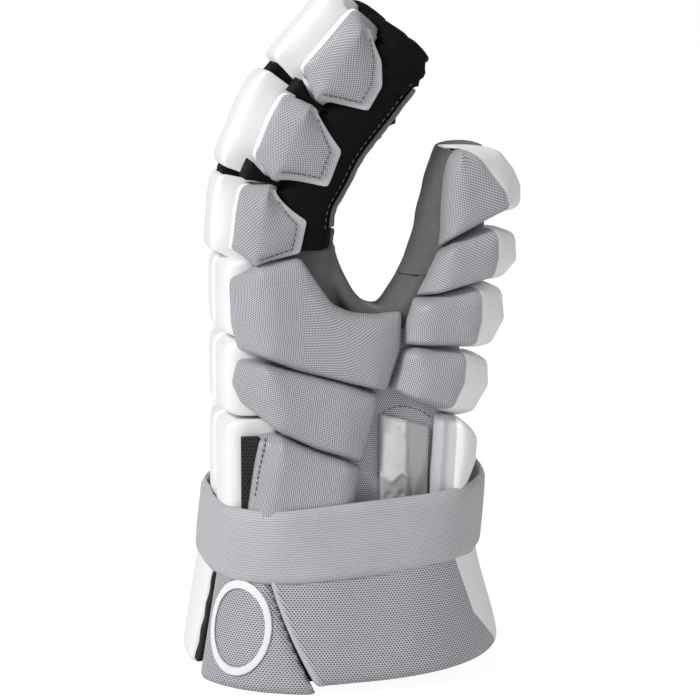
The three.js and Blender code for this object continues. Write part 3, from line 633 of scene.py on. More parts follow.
def fingerPad(finger, line, k, exposed):
    size = fingerSizes
    base = size["stallDepth"] / 2
    half = size["padWidth"] / 2
    tabHalf = size["stallWidth"] / 2 + seatGap + size["tabThickness"]
    edges = fingerPadEdges[k]
    scale, offset = padStretch(finger, line, k)
    length = (edges["ridge"][1][0] - edges["ridge"][0][0]) * scale
    steps = max(18, round(length / 1.5))
    counts = (9, 8, 2, 6)
    outerRows, innerRows, toneRows, borderRows = [], [], [], []
    for i in range(steps + 1):
        u = i / steps
        tab, ridge, back = (edgeAt(edges[name], u) for name in ("tab", "ridge", "back"))
        if not exposed:
            back[0] += mix(-2.6 if k < 2 else -5.0, 1.6, u)
        fromEnd = length * min(u, 1 - u)
        drop = edgeFall(fromEnd, 2.6, 2.0)
        sides = []
        for side in (-1, 1):
            isOpen = side == exposed
            slope = 0.0 if not exposed else -padLook["lean"] if isOpen else padLook["lean"]
            out = padLook["ridgeOut"] * smoothStep(fromEnd / 5) ** 0.5 if isOpen else 0.0
            backEdge = back[1] if exposed else padLook["hiddenBack"] + padLook["tipRise"] * k / 2
            top = backEdge - drop - max(slope, 0)
            low = tab[1] if isOpen else mix(tab[1], 9.0, 0.4)
            lowS = tab[0] if isOpen else mix(tab[0], ridge[0], 0.5)
            backHalf = half - padLook["backIn"] * isOpen
            corners = [
                (tabHalf - 0.3, low, lowS), (half - 0.2 + out, ridge[1], ridge[0]),
                (backHalf - 0.4, top - 1.4, back[0]), (backHalf - 1.7, top, back[0]),
                (0, top + slope / 2 + 0.3, back[0]),
            ]
            sides.append(spread(corners, counts) * [side, 1, 1])
        path = np.concatenate([sides[0], sides[1][-2::-1]])
        tabWide = np.linalg.norm([ridge[1] - tab[1], ridge[0] - tab[0]])
        n = len(path)
        outer, inner, tone, border = [], [], [], []
        for j, (w, d, s) in enumerate(path):
            fromSide = min(j, n - 1 - j)
            isExposed = exposed == (-1 if j < n / 2 else 1)
            onTab = fromSide < counts[0]
            share = fromSide / counts[0]
            edge = min(tabWide * share, fromEnd * 1.1) if fromSide <= counts[0] else 99
            if isExposed and onTab:
                w -= math.copysign(1.1 * (1 - smoothStep((edge - 2.6) / 1.6)) * smoothStep(share * 3), w)
            outer.append(line.place(s * scale + offset, w, d))
            # the inner side lies on the stall
            di = min(d, 0.9 * (base + seatGap))
            if d > di:
                topShare = np.clip((fromSide - counts[0] + 2) / ((n - 1) / 2 - counts[0] + 2), 0, 1)
                di = (base + seatGap) * math.sin(mix(math.asin(0.9), math.pi / 2, topShare))
            wi = stallReach(di, seatGap, "stallDepth", "stallWidth") if fromSide < (n - 1) / 2 else 0.0
            inner.append(line.place(s * scale + offset, math.copysign(wi, w) if wi else 0.0, di))
            tone.append((fromSide - counts[0] - counts[1] - 0.3) * 1.2 if isExposed else 1.5)
            border.append(1 - smoothStep((edge - 2.4) / 0.7) if isExposed and fromSide <= counts[0] else 0.0)
        outerRows.append(outer)
        innerRows.append(inner)
        toneRows.append(tone)
        borderRows.append(border)
    return tuple(np.array(rows) for rows in (outerRows, innerRows, toneRows, borderRows))


def gusset(finger, line, k):  # black cloth that fills the notch between two pads
    rings = []
    for d in np.linspace(fingerSizes["stallDepth"] / 2 - 1.5, padLook["notchTop"], 9):
        ends = []
        for pad, u in ((k, 1), (k + 1, 0)):
            scale, offset = padStretch(finger, line, pad)
            ridge, back = (edgeAt(fingerPadEdges[pad][name], u) for name in ("ridge", "back"))
            share = np.clip((d - ridge[1]) / (back[1] - ridge[1]), 0, 1)
            ends.append(mix(ridge[0], back[0], share) * scale + offset)
        low, high = ends[0] + 0.15, ends[1] - 0.15
        half = 10.2 - 1.2 * smoothStep((d - 20) / 9)
        path = spread([(low, -half), (high, -half), (high, half), (low, half), (low, -half)], (2, 6, 2, 6))[:-1]
        rings.append([line.place(s, w, d) for s, w in path])
    return tubeMesh(rings)


stitchPaths = {"dark": [], "pale": []}
for finger, line in zip(fingers, fingerLines):
    exposed = {"index": -1, "little": 1}.get(finger["name"], 0)
    for k in range(len(finger["cuts"])):
        outer, inner, tone, border = fingerPad(finger, line, k, exposed)
        addPad(f"{finger['name']}_pad_{k + 1}", outer, inner, tone, "white_cover", border)
        if exposed:  # stitches along the tab's lower end and its edge, two rows in
            columns = outer[:, ::-exposed]
            path = [*columns[2, 8:2:-1], *columns[2:-4, 2]]
            stitchPaths["dark"].append(np.array(path) + line.across * exposed * 0.3)
print("finger pads ready")


# Stalls

def stallRings(line, grow, endTrim, crumple=0.0):
    size = fingerSizes
    end = line.total - endTrim + size["tipReach"]
    rows = [(s, 1.0) for s in np.linspace(size["begin"], end - size["tipRound"], 46)]
    for a in np.linspace(0, math.pi / 2, 9)[1:]:
        rows.append((end - size["tipRound"] * (1 - math.sin(a)), max(math.cos(a) ** 0.55, 0.05) if a < 1.5 else 0.3))
    rings = []
    for s, share in rows:
        ring = []
        half = [share * (size[key] / 2 + grow) for key in ("stallWidth", "stallDepth")]
        for w, d in roundSection(*half, size["square"], 40):
            wave = crumple * smoothStep((s - line.total * 0.8) / 12) * (
                math.sin(s * 0.9 + w * 0.35) * 0.6 + math.sin(d * 0.55 + s * 0.4) * 0.6
            )
            puff = 1 + wave / 14
            if d > 0:
                d *= 1 + 0.6 * smoothStep((s - line.total - 0.5) / 3)
            seam = crumple * 1.6 * math.exp(-((d - 1.5) / 1.1) ** 2) * smoothStep((s - line.total * 0.93) / 6)
            point = line.place(s - seam * 0.6, w * puff - math.copysign(seam * 0.5, w), d * puff)
            if point[2] < size["knuckleZ"]:
                along = line.at(s)[1]
                point = point + along * (size["knuckleZ"] - point[2]) / along[2]
            ring.append(point)
        rings.append(ring)
    keepFrom = max(i for i, ring in enumerate(rings) if all(abs(p[2] - size["knuckleZ"]) < 1e-6 for p in ring))
    return rings[keepFrom:]


for finger, line in zip(fingers, fingerLines):
    outside = stallRings(line, 0, 0, fingerSizes["crumple"])
    inside = stallRings(line, -fingerSizes["wall"], fingerSizes["wall"])
    parts = [walledTube(outside, inside), *(gusset(finger, line, k) for k in range(2))]
    points, faces = joined([part[:2] for part in parts])
    name = f"{finger['name']}_stall"
    uv = np.concatenate([part[2] for part in parts])
    keep(makeMesh(name, points, faces, uv, material=stallMaterial), [name], "black_mesh")

for finger, line in zip(fingers, fingerLines):
    size = fingerSizes
    ringStep = (line.total - size["tipRound"]) / 7
    stops = np.linspace(2 * ringStep, 7 * ringStep, 34)
    shares = np.linspace(-1, 1, 13)
    outer, inner = [], []
    for s in stops:
        rowOut, rowIn = [], []
        for share in shares:
            w = share * size["palmWidth"] / 2
            seat = stallReach(w, 2 * seatGap)
            creased = 0.35 * math.sin(s * 0.33) ** 2 * (1 - share ** 2)
            thick = size["palmThickness"] * (0.55 + 0.45 * smoothStep((1 - abs(share)) * 3)) + creased
            rowIn.append(line.place(s, w, -seat))
            rowOut.append(line.place(s, w, -seat - thick))
        outer.append(rowOut)
        inner.append(rowIn)
    name = f"{finger['name']}_palm"
    points, faces, uv = blockMesh(np.array(outer), np.array(inner), 1)
    keep(makeMesh(name, points, faces, uv, material=suedeMaterial), [name], "grey_suede")
    for side in (-1, 1):
        w = side * (size["palmWidth"] / 2 + 1.3)
        stitchPaths["pale"].append(np.array([line.place(s, w, -stallReach(w, 0.25)) for s in stops]))
print("stalls and finger leather ready")


# Back of the hand

handSizes = {
    "backX": -52.0, "width": 94.0, "padThickness": 14.0, "arch": 0.0031, "turn": 0.1,
    "bottomShell": 50.0, "knuckleZ": 197.0,
}
backRows = {"a": (157, 192), "b": (121, 155.5), "c": (64, 119.5)}
backColumns = [(-42, -15), (-13.6, 13.6), (15, 42)]


def archAt(y):
    return handSizes["turn"] * y + handSizes["arch"] * y * y


for row, (low, high) in backRows.items():
    for column, (left, right) in enumerate(backColumns):
        nz, ny = max(14, round((high - low) / 2)), 14
        outer, inner = [], []
        for i in range(nz + 1):
            z = mix(low, high, i / nz)
            rowOut, rowIn = [], []
            for j in range(ny + 1):
                y = mix(left, right, j / ny)
                fall = edgeFall(high - z, 4.5, 4.5) + edgeFall(z - low, 3.5, 3.5)
                fall += edgeFall(min(y - left, right - y), 4.0, 4.0)
                x = archAt(y) + handSizes["backX"] - handSizes["padThickness"] + min(fall, 8)
                point = np.array([x, y, z])
                rowOut.append(point)
                rowIn.append(seated(point, np.array([1.0, 0, 0]), 20))
            outer.append(rowOut)
            inner.append(rowIn)
        outer, inner = np.array(outer), np.array(inner)
        addPad(f"back_pad_{row}_{column + 1}", outer, inner, np.full(outer.shape[:2], 1.5), "white_cover")


def facetPad(name, facets, counts, rows, borders, slotName, tones=None, ease=1, smooth=0.0):
    # each facet edge is a line of (x, z) from the wrist up, at one y, with the way in toward the hand
    tones = tones or [-1.5] * len(facets)
    lines, ways = [], []
    for facet in facets:
        line = np.array([(x, facet["y"], z) for x, z in facet["line"]], float)
        run = np.concatenate([[0], np.cumsum(np.linalg.norm(np.diff(line, axis=0), axis=1))])
        at = np.linspace(0, run[-1], rows + 1)
        lines.append(np.stack([np.interp(at, run, line[:, c]) for c in range(3)], 1))
        ways.append(unit(np.array([*facet["in"], 0.0])))
    grid, inward, tone = [lines[0]], [ways[0]], [tones[0]]
    for k, count in enumerate(counts):
        for c in range(1, count + 1):
            grid.append(mix(lines[k], lines[k + 1], c / count))
            inward.append(unit(mix(ways[k], ways[k + 1], c / count)))
            tone.append(mix(tones[k], tones[k + 1], c / count))
    grid, inward = np.array(grid), np.array(inward)
    for _ in range(ease):
        grid[1:-1] = (grid[:-2] + 2 * grid[1:-1] + grid[2:]) / 4
    across, up = lengths(grid), lengths(grid, 1)
    outer, inner = grid.copy(), grid.copy()
    for i in range(grid.shape[0]):
        for j in range(grid.shape[1]):
            away = {
                "first": across[i, j], "last": across[-1, j] - across[i, j],
                "low": up[i, j], "high": up[i, -1] - up[i, j],
            }
            falls = [edgeFall(away[key], *borders[key]) for key in away]
            fall = min(math.sqrt(sum(f * f for f in falls)), max(b[1] for b in borders.values()))
            outer[i, j] = grid[i, j] + inward[i] * fall
            inner[i, j] = seated(outer[i, j], inward[i], 14, 10.0)
    toneGrid = np.repeat(np.array(tone)[:, None], grid.shape[1], 1)
    # smooth spreads the border mark over the whole pad; on the thumb's base pad it helps paint shade as a plain grey
    addPad(name, outer, inner, toneGrid, slotName, np.full(toneGrid.shape, smooth))
    return outer


ahead = (0, 1)
facetPad("thumb_side_pad_a", [
    {"y": -43, "in": (0.6, 0.8), "line": [(-61.9, 151.3), (-65.0, 163.6), (-65.7, 184.3)]},
    {"y": -58.6, "in": ahead, "line": [(-49.4, 148.6), (-51.6, 167.1), (-52.4, 191.1)]},
    {"y": -58, "in": ahead, "line": [(-35.0, 142.7), (-33.5, 194.2)]},
    {"y": -58, "in": ahead, "line": [(-23.6, 139.6), (-26.3, 182.9)]},
    {"y": -58, "in": ahead, "line": [(-14.5, 137.0), (-19.0, 172.4)]},
    {"y": -58, "in": ahead, "line": [(-6.7, 134.9), (-9.5, 167.6)]},
    {"y": -58, "in": ahead, "line": [(-0.2, 133.3), (1.6, 166.4)]},
    {"y": -53, "in": ahead, "line": [(6.3, 131.0), (12.9, 150.7), (13.6, 167.4)]},
], (9, 7, 5, 4, 4, 4, 7), 30, {"first": (3, 2.0), "last": (5, 4.0), "low": (3.2, 5.5), "high": (7, 5.0)}, "grey_mesh")
facetPad("thumb_side_pad_b", [
    {"y": -43, "in": (0.6, 0.8), "line": [(-60.4, 126.9), (-64.9, 136.6), (-62.1, 148.3)]},
    {"y": -58.6, "in": ahead, "line": [(-45.1, 115.9), (-47.7, 130.9), (-49.5, 145.9)]},
    {"y": -58, "in": ahead, "line": [(-26.0, 106.5), (-30.5, 141.1)]},
    {"y": -58, "in": ahead, "line": [(-14.5, 102.8), (-12.2, 135.9)]},
    {"y": -55, "in": ahead, "line": [(-5.5, 99.0), (-0.9, 114.5), (2.8, 130.2)]},
], (9, 10, 8, 8), 24, {"first": (3, 2.0), "last": (4.5, 4.5), "low": (3.6, 5.5), "high": (6.5, 5.5)}, "grey_mesh")
lowSidePad = facetPad("thumb_side_pad_c", [
    {"y": -49.5, "in": ahead, "line": [(-57.5, 64.0), (-57.0, 78.8), (-54.3, 97.9), (-51.5, 112.9)]},
    {"y": -50.5, "in": ahead, "line": [(-54.5, 64.0), (-54.0, 78.9), (-50.3, 98.0), (-45.7, 113.4)]},
    {"y": -57.5, "in": ahead, "line": [(-52.0, 64.0), (-51.5, 80.3), (-47.5, 99.2), (-42.4, 113.0)]},
    {"y": -58, "in": ahead, "line": [(-26.0, 64.0), (-26.0, 77.6), (-25.1, 105.0)]},
    {"y": -58, "in": ahead, "line": [(-13.0, 64.0), (-12.2, 75.5), (-13.1, 100.9)]},
    {"y": -54, "in": ahead, "line": [(-9.0, 64.0), (-8.3, 73.2), (-7.8, 84.8), (-5.5, 96.8)]},
], (3, 3, 12, 6, 5), 26, {"first": (1.5, 0.8), "last": (5, 4.5), "low": (15, 3.6), "high": (6.5, 5.5)}, "grey_mesh")

# the little finger's side: (x, y, lowest, highest) of each facet edge, and the rows
littleRows = {
    "a": ([(-66, -46, 163, 188), (-51, -57.5, 151, 193), (-36, -58, 146.5, 192), (-20, -55, 149, 190)], 24),
    "b": ([(-66, -46, 128, 150), (-51, -57.5, 121, 149), (-30, -58, 111, 145), (-12, -54, 110.5, 142)], 20),
    "c": ([(-58, -52, 64, 116), (-47, -57.5, 64, 117), (-26, -58, 64, 109), (-5, -54, 64, 103)], 26),
}
for row, (table, rows) in littleRows.items():
    facets = []
    for x, y, low, high in table:
        turned = handSizes["turn"] * handSizes["width"] * min(max((-38 - x) / 20, 0), 1)
        way = (0.5, -0.85) if x < -57 else (0, -1)
        facets.append({"y": -y, "in": way, "line": [(x + turned, low), (x + turned, high)]})
    borders = {"first": (3, 2.0), "last": (6, 5.0), "low": (3.6, 5.5), "high": (6.5, 5.5)}
    if row == "c":
        borders["low"] = (15, 3.6)
    facetPad(f"little_side_pad_{row}", facets, (8, 8, 10), rows, borders, "grey_mesh")
print("hand pads ready")


# Thumb

thumbSizes = {
    "topZ": 243.5, "reach": 45.0, "y": -29.0, "depth": 32.0, "width": 33.0, "splitZ": 183.0, "wall": 2.0, "dome": 2.6,
}
thumbRows = [
    {"up": 0.25, "lean": -0.13, "depth": 2.2, "width": 1},
    {"up": 0.41, "lean": 0.12, "depth": 2.25, "width": 1},
    {"up": 0.534, "lean": 0.3, "depth": 1.82, "width": 1},
    {"up": 0.636, "lean": 0.44, "depth": 1.64, "width": 1},
    {"up": 0.698, "lean": 0.63, "depth": 1.29, "width": 1},
    {"up": 0.75, "lean": 0.76, "depth": 1.12, "width": 1},
    {"up": 0.821, "lean": 0.87, "depth": 1, "width": 1},
    {"up": 0.883, "lean": 0.93, "depth": 0.96, "width": 0.98},
    {"up": 0.944, "lean": 0.96, "depth": 0.84, "width": 0.88},
    {"up": 0.978, "lean": 0.975, "depth": 0.72, "width": 0.74},
    {"up": 1, "lean": 1, "depth": 0.58, "width": 0.56},
]


def thumbAt(z):
    size = thumbSizes
    row = tableAt(thumbRows, "up", min(1, z / size["topZ"]))
    return row["lean"] * size["reach"], row["depth"] * size["depth"] / 2, row["width"] * size["width"] / 2


# edges of each pad: at the leather, the crest, the line to the white cover and the outline, then round the back
thumbPads = {
    "thumb_pad_1": [
        (-51, [(6.9, 132.2), (10.6, 141.2), (12.9, 150.8)]),
        (-57.5, [(17.8, 127.5), (20.1, 139.8), (20.1, 151.4)]),
        (-55.5, [(35.6, 122.4), (41.6, 134.6), (42.9, 149.2)]),
        (-41, [(48.9, 117.5), (56.9, 131.0), (56.3, 145.5)]),
    ],
    "thumb_pad_2": [
        (-51, [(13.4, 152.1), (13.8, 160.3), (17.9, 173.4)]),
        (-57.5, [(22.4, 152.2), (22.3, 163.8), (26.9, 174.1)]),
        (-55.5, [(46.6, 151.0), (49.8, 162.7), (49.6, 178.2)]),
        (-41, [(57.2, 149.0), (64.2, 161.9), (62.6, 178.0)]),
    ],
    "thumb_pad_3": [
        (-48, [(19.6, 173.9), (25.1, 184.2), (30.2, 194.5)]),
        (-57.5, [(29.2, 175.5), (31.9, 188.0), (36.0, 198.8)]),
        (-55.5, [(54.7, 181.6), (57.4, 191.6), (56.8, 204.8)]),
        (-41, [(61.7, 180.0), (69.6, 188.6), (69.0, 203.0)]),
    ],
    "thumb_pad_4": [
        (-48, [(30.2, 195.5), (31.0, 203.1), (31.4, 215.4), (32.3, 227.5), (34.1, 235.6), (37.3, 240.0)]),
        (-57, [(35.5, 200.3), (36.4, 208.6), (37.2, 218.5), (37.4, 229.6), (38.5, 236.3), (39.4, 240.8)]),
        (-55, [(61.9, 212.3), (62.3, 215.5), (60.4, 221.8), (53.8, 229.6), (47.8, 236.9), (43.6, 240.5)]),
        (-41, [(68.9, 211.1), (71.2, 216.1), (71.2, 223.0), (67.8, 230.8), (61.6, 238.6), (52.6, 242.0)]),
    ],
}
thumbWays = [(0.3, 0.95), (0.12, 1), (-0.45, 0.9), (-1, 0.2), (-1, -0.05), (-0.8, -0.6), (-0.2, -1)]
for name, edges in thumbPads.items():
    facets = [{"y": y, "in": way, "line": line} for (y, line), way in zip(edges, thumbWays)]
    outline = edges[3][1]
    tip = name == "thumb_pad_4"
    for y, drop, way in ((-22, 0.5, thumbWays[4]), (-13, 5.5, thumbWays[5]), (-11.5, 15, thumbWays[6])):
        narrow = [1 - 0.75 * smoothStep((z - 215) / 25) * tip for x, z in outline]
        line = [(x - drop * share, z - 2.5 * (1 - share)) for (x, z), share in zip(outline, narrow)]
        facets.append({"y": y, "in": way, "line": line})
    borders = {"first": (4, 3.0), "last": (4, 2.5), "low": (3.2, 5.5), "high": (8, 7.0) if tip else (5.5, 5.5)}
    facetPad(name, facets, (5, 12, 8, 8, 5, 5), 30 if tip else 20, borders, "grey_mesh", (-9, -6, 0, 8, 12, 12, 12))

# painted shade: the first facets of this white pad get negative tones and the border mark all over, which paint them a
# plain grey where the cover turns from the light
facetPad("thumb_base_pad", [
    {"y": -46.0, "in": (0.1, 1), "line": [(27.5, 64.0), (28.1, 94.4), (29.8, 119.5)]},
    {"y": -50.5, "in": (0, 1), "line": [(30.5, 64.0), (31.4, 94.4), (33.0, 119.2)]},
    {"y": -48.6, "in": (0, 1), "line": [(33.6, 64.0), (34.8, 94.4), (36.4, 118.8)]},
    {"y": -53.2, "in": (0, 1), "line": [(38.6, 64.0), (40.2, 94.4), (41.6, 117.4)]},
    {"y": -51.0, "in": (-0.3, 1), "line": [(38.8, 64.0), (41.4, 82), (46.2, 96.4), (47.4, 114.0)]},
    {"y": -43, "in": (-1, 0.3), "line": [(40.2, 64.0), (43.6, 82), (50.2, 96.4), (51.4, 110.6)]},
    {"y": -28, "in": (-1, 0), "line": [(40.2, 64.0), (43.6, 82), (50.0, 96.4), (51.2, 110.0)]},
    {"y": -16, "in": (-0.9, -0.4), "line": [(39.0, 64.0), (42.0, 82), (47.0, 96.4), (48.0, 109.0)]},
], (4, 4, 5, 5, 5, 6, 5), 28, {"first": (1.2, 1.0), "last": (3, 2.0), "low": (12, 2.4), "high": (5, 4.5)},
    "white_cover", (-6, -6, -3, 2.4, 6, 6, 6, 6), ease=2, smooth=1.3)


def thumbRings(grow, fromZ, toZ, wrinkle=0.0):
    levels = list(np.arange(fromZ, toZ - 1, 2.0)) + [toZ - 1, toZ]
    rings = []
    for z in levels:
        x, depth, width = thumbAt(z)
        ring = []
        for w, d in roundSection(width + grow, depth + grow, 2.4, 48):
            fold = wrinkle * (math.sin(z * 0.42 + w * 0.1) * 0.5 + math.sin(z * 0.17 - d * 0.2) * 0.5)
            ring.append((x + d * (1 + fold / 16), thumbSizes["y"] + w * (1 + fold / 16), z))
        rings.append(ring)
    rings = np.array(rings)
    for _ in range(2):
        rings[1:-1] = (rings[:-2] + 2 * rings[1:-1] + rings[2:]) / 4
    if toZ > 220:  # the round end of the thumb
        middle = rings[-1].mean(0)
        steps = (0.84, 0.9), (0.6, 1.6), (0.34, 2.0)
        dome = [middle + (rings[-1] - middle) * [share, share, 0] + [0, 0, rise] for share, rise in steps]
        rings = np.concatenate([rings, dome])
    return rings


low, high = thumbSizes["splitZ"] + seatGap, thumbSizes["topZ"] - thumbSizes["dome"]
inside = thumbRings(-thumbSizes["wall"], low, high - thumbSizes["wall"])
points, faces, uv = walledTube(thumbRings(0, low, high, wrinkle=0.5), inside)
keep(makeMesh("thumb_stall", points, faces, uv, material=suedeMaterial), ["thumb_stall"], "grey_suede")
print("thumb ready")


# Cuff

cuffSizes = {
    "topZ": 63.7, "thickness": 6.5, "depth": 126.0, "width": 115.0, "hemDepth": 152.0, "hemWidth": 132.0,
    "square": 3.0, "hemSquare": 2.3, "centreX": -4.5, "hemZ": -5.0, "waist": 4.4,
}
flapRows = [  # name, turns at the top and at the hem, height of the hem's ends, slot
    ("thumb_flap", (-131, 18), (-106, 16), (-1, 8), "grey_mesh"),
    ("badge_flap", (-164, -131.4), (-163, -106.3), (-5, -5), "grey_mesh"),
    ("back_flap", (-197.6, -168.2), (-202.4, -172.0), (-0.5, -0.5), "white_cover"),
    ("little_flap", (-335, -199.5), (-335, -204.5), (-5, -5), "grey_mesh"),
]
flaps = [dict(zip(("name", "top", "hem", "hemZ", "slot"), row)) for row in flapRows]


def cuffPoint(angle, z, inset):
    size = cuffSizes
    flare = (size["topZ"] - z) / (size["topZ"] - size["hemZ"])
    depth = mix(size["depth"], size["hemDepth"], flare) / 2 - inset
    width = mix(size["width"], size["hemWidth"], flare) / 2 - inset
    power = mix(size["square"], size["hemSquare"], flare)
    a = math.radians(angle)
    depth -= size["waist"] * smoothStep((z - 6) / 48) * max(0.0, math.cos(a))
    return np.array([size["centreX"] + depth * bulge(math.cos(a), power), width * bulge(math.sin(a), power), z])


def cuffUv(points):  # round the cuff and up it
    turn = np.degrees(np.arctan2(points[:, 1], points[:, 0] - cuffSizes["centreX"]))
    turn[turn > 17] -= 360
    return np.stack([np.radians(turn) * 66, points[:, 2]], 1)


# where the front flap turns white
whiteEnd = [{"z": z, "x": x} for z, x in ((-20, 75), (10.8, 61.2), (26.2, 48.3), (50, 39.5), (70, 33))]
for flap in flaps:
    wide = flap["top"][1] - flap["top"][0]
    na, nz = max(16, round(wide / 1.5)), 30
    outer, inner, tone, border = [], [], [], []
    for i in range(na + 1):
        t = i / na
        rowOut, rowIn, rowTone, rowBorder = [], [], [], []
        edgeRun = min(t, 1 - t) * wide * 1.15
        for j in range(nz + 1):
            v = j / nz
            angle = mix(mix(*flap["hem"], t), mix(*flap["top"], t), v)
            z = mix(mix(*flap["hemZ"], t), cuffSizes["topZ"], v)
            pinch = edgeFall(v * 66, 3.0, 2.2) + edgeFall(edgeRun, 2.2, 1.8)
            isFront = flap["name"] == "thumb_flap"
            band = t * wide * 1.15  # a raised band along the front flap's rear edge
            raised = 1.5 * smoothStep((band - 0.2) / 1.2) * (1 - smoothStep((band - 3.2) / 1.6)) * isFront
            point = cuffPoint(angle, z, pinch - raised * (1 - smoothStep((z - 44) / 8)))
            rowOut.append(point)
            rowIn.append(cuffPoint(angle, z, cuffSizes["thickness"] - min(pinch, 2.2)))
            tone0 = 1.5 if flap["slot"] == "white_cover" else -1.5
            rowTone.append(np.clip(point[0] - tableAt(whiteEnd, "z", z)["x"], -3, 3) if isFront else tone0)
            rowBorder.append((1 - smoothStep((band - 3.4) / 0.8)) * isFront)
        outer.append(rowOut)
        inner.append(rowIn)
        tone.append(rowTone)
        border.append(rowBorder)
    outer, inner, tone, border = (np.array(rows) for rows in (outer, inner, tone, border))
    addPad(flap["name"], outer, inner, tone, flap["slot"], border, flapMaterial, 8.0, cuffUv)
linings = [
    {"top": (-180, -166.6), "hem": (-186, -166.8), "hemZ": 1.5, "outset": 3.2, "inset": 5.4},
    {"top": (-137, -126), "hem": (-113, -100), "hemZ": 0.0, "outset": 6.9, "inset": 8.2},
]
for number, lining in enumerate(linings):
    outer, inner = [], []
    for t in np.linspace(0, 1, 14):
        outerRow, innerRow = [], []
        for v in np.linspace(0, 1, 24):
            angle = mix(mix(*lining["hem"], t), mix(*lining["top"], t), v)
            z = mix(lining["hemZ"], cuffSizes["topZ"] - 1, v)
            ripple = 0.3 * math.sin(z * 0.5 + t * 4)
            outerRow.append(cuffPoint(angle, z, lining["outset"] + (ripple - 1.6 * t) * (number == 0)))
            innerRow.append(cuffPoint(angle, z, lining["inset"]))
        outer.append(outerRow)
        inner.append(innerRow)
    points, faces, uv = blockMesh(np.array(outer), np.array(inner), 1)
    keep(makeMesh(f"flap_lining_{number + 1}", points, faces, uv, material=liningMaterial), [], "black_mesh")
print("cuff flaps ready")


# Strap

strapSizes = {
    "width": 35.0, "thickness": 2.2, "centreX": -6.0, "midZ": 69.3, "backDrop": 0.05, "rise": 0.03, "sweep": 0.0006,
    "lean": 0.06, "palmLean": 0.05, "roll": 1.0, "slack": 0.9, "openTop": 2.2,
}
undersides = {
    "low": ("thumb_flap", "badge_flap", "back_flap", "little_flap"),
    "high": ("back_pad_c_1", "back_pad_c_2", "back_pad_c_3", "thumb_side_pad_c", "little_side_pad_c",
             "thumb_base_pad"),
}
heights = {"low": (53.0, 64.0), "high": (64.0, 90.0)}


def reachAround(names, low, high, turns):  # how far the pieces reach from the strap's middle, drawn tight and smoothed
    points = [p for name in names for p in cadPoints(name)]
    flat = np.array([(x - strapSizes["centreX"], y) for x, y, z in points if low <= z <= high])
    support = np.array([max(flat @ np.array([math.sin(a), math.cos(a)])) for a in turns])
    wide = np.stack([np.sin(turns), np.cos(turns)], 1)
    reach = []
    for a in turns:
        facing = wide @ np.array([math.sin(a), math.cos(a)])
        reach.append(min(support[facing > 0.15] / facing[facing > 0.15]))
    reach = np.array(reach)
    kernel = np.array([1, 2, 3, 4, 3, 2, 1]) / 16
    for _ in range(3):
        reach = sum(weight * np.roll(reach, k - 3) for k, weight in enumerate(kernel))
    return reach


turns = np.linspace(0, 2 * math.pi, 220, endpoint=False)
reachLow = reachAround(undersides["low"], *heights["low"], turns)
reachHigh = reachAround(undersides["high"], *heights["high"], turns)
reachLow -= cuffSizes["waist"] * np.clip(np.sin(turns), 0, 1)
palmSide = np.clip(np.sin(turns) * 1.6 - 0.4, 0, 1)
reachHigh = mix(np.maximum(reachHigh, reachLow - 3.0), reachLow + strapSizes["openTop"], palmSide)


def strapProfile():  # (inset, rise) round the strap's section, its edges rolled
    size = strapSizes
    half = size["width"] / 2
    outerFace = []
    for r in np.linspace(-half + 1.0, half - 1.0, 25):
        rolled = size["roll"] * smoothStep((abs(r) - half + 3.2) / 2.2)
        outerFace.append((-0.3 - 0.35 * math.cos(math.pi * r / size["width"]) + rolled, r))
    innerFace = [(size["thickness"] + 0.25, r) for r in np.linspace(half - 1.2, -half + 1.2, 12)]
    topEdge = [(1.2, half - 0.1), (1.8, half)]
    lowEdge = [(1.8, -half), (1.2, -half + 0.1)]
    return outerFace + topEdge + innerFace + lowEdge


size = strapSizes
profile = strapProfile()
rings = []
for a, low, high in zip(turns, reachLow, reachHigh):
    ring = []
    for inset, rise in profile:
        share = rise / size["width"] + 0.5
        reach = mix(low, high, smoothStep(share * 0.9 + 0.05)) + size["slack"] + size["thickness"] - inset
        x, y = reach * math.sin(a), reach * math.cos(a)
        sweep = size["sweep"] * max(0, x) ** 2
        lean = size["lean"] * min(y, 0) - size["palmLean"] * max(y, 0) + size["backDrop"] * min(x, 0)
        ring.append((size["centreX"] + x, y, size["midZ"] + rise + size["rise"] * x + sweep + lean))
    rings.append(ring)
points, faces, uv = tubeMesh(rings, closedRun=True)
uv = uv[:, ::-1].copy()
keep(makeMesh("wrist_band", points, faces, uv, material=strapMaterial), ["wrist_strap"], "strap_web")
print("strap ready")


# Swelling of the foam in its covers

swell = {
    "scale": 10, "pressure": 4.0, "frames": 12, "quality": 4, "mass": 0.3, "stretch": 12, "bend": 2,
    "cap": 0.7,  # millimetres that a point may move
}


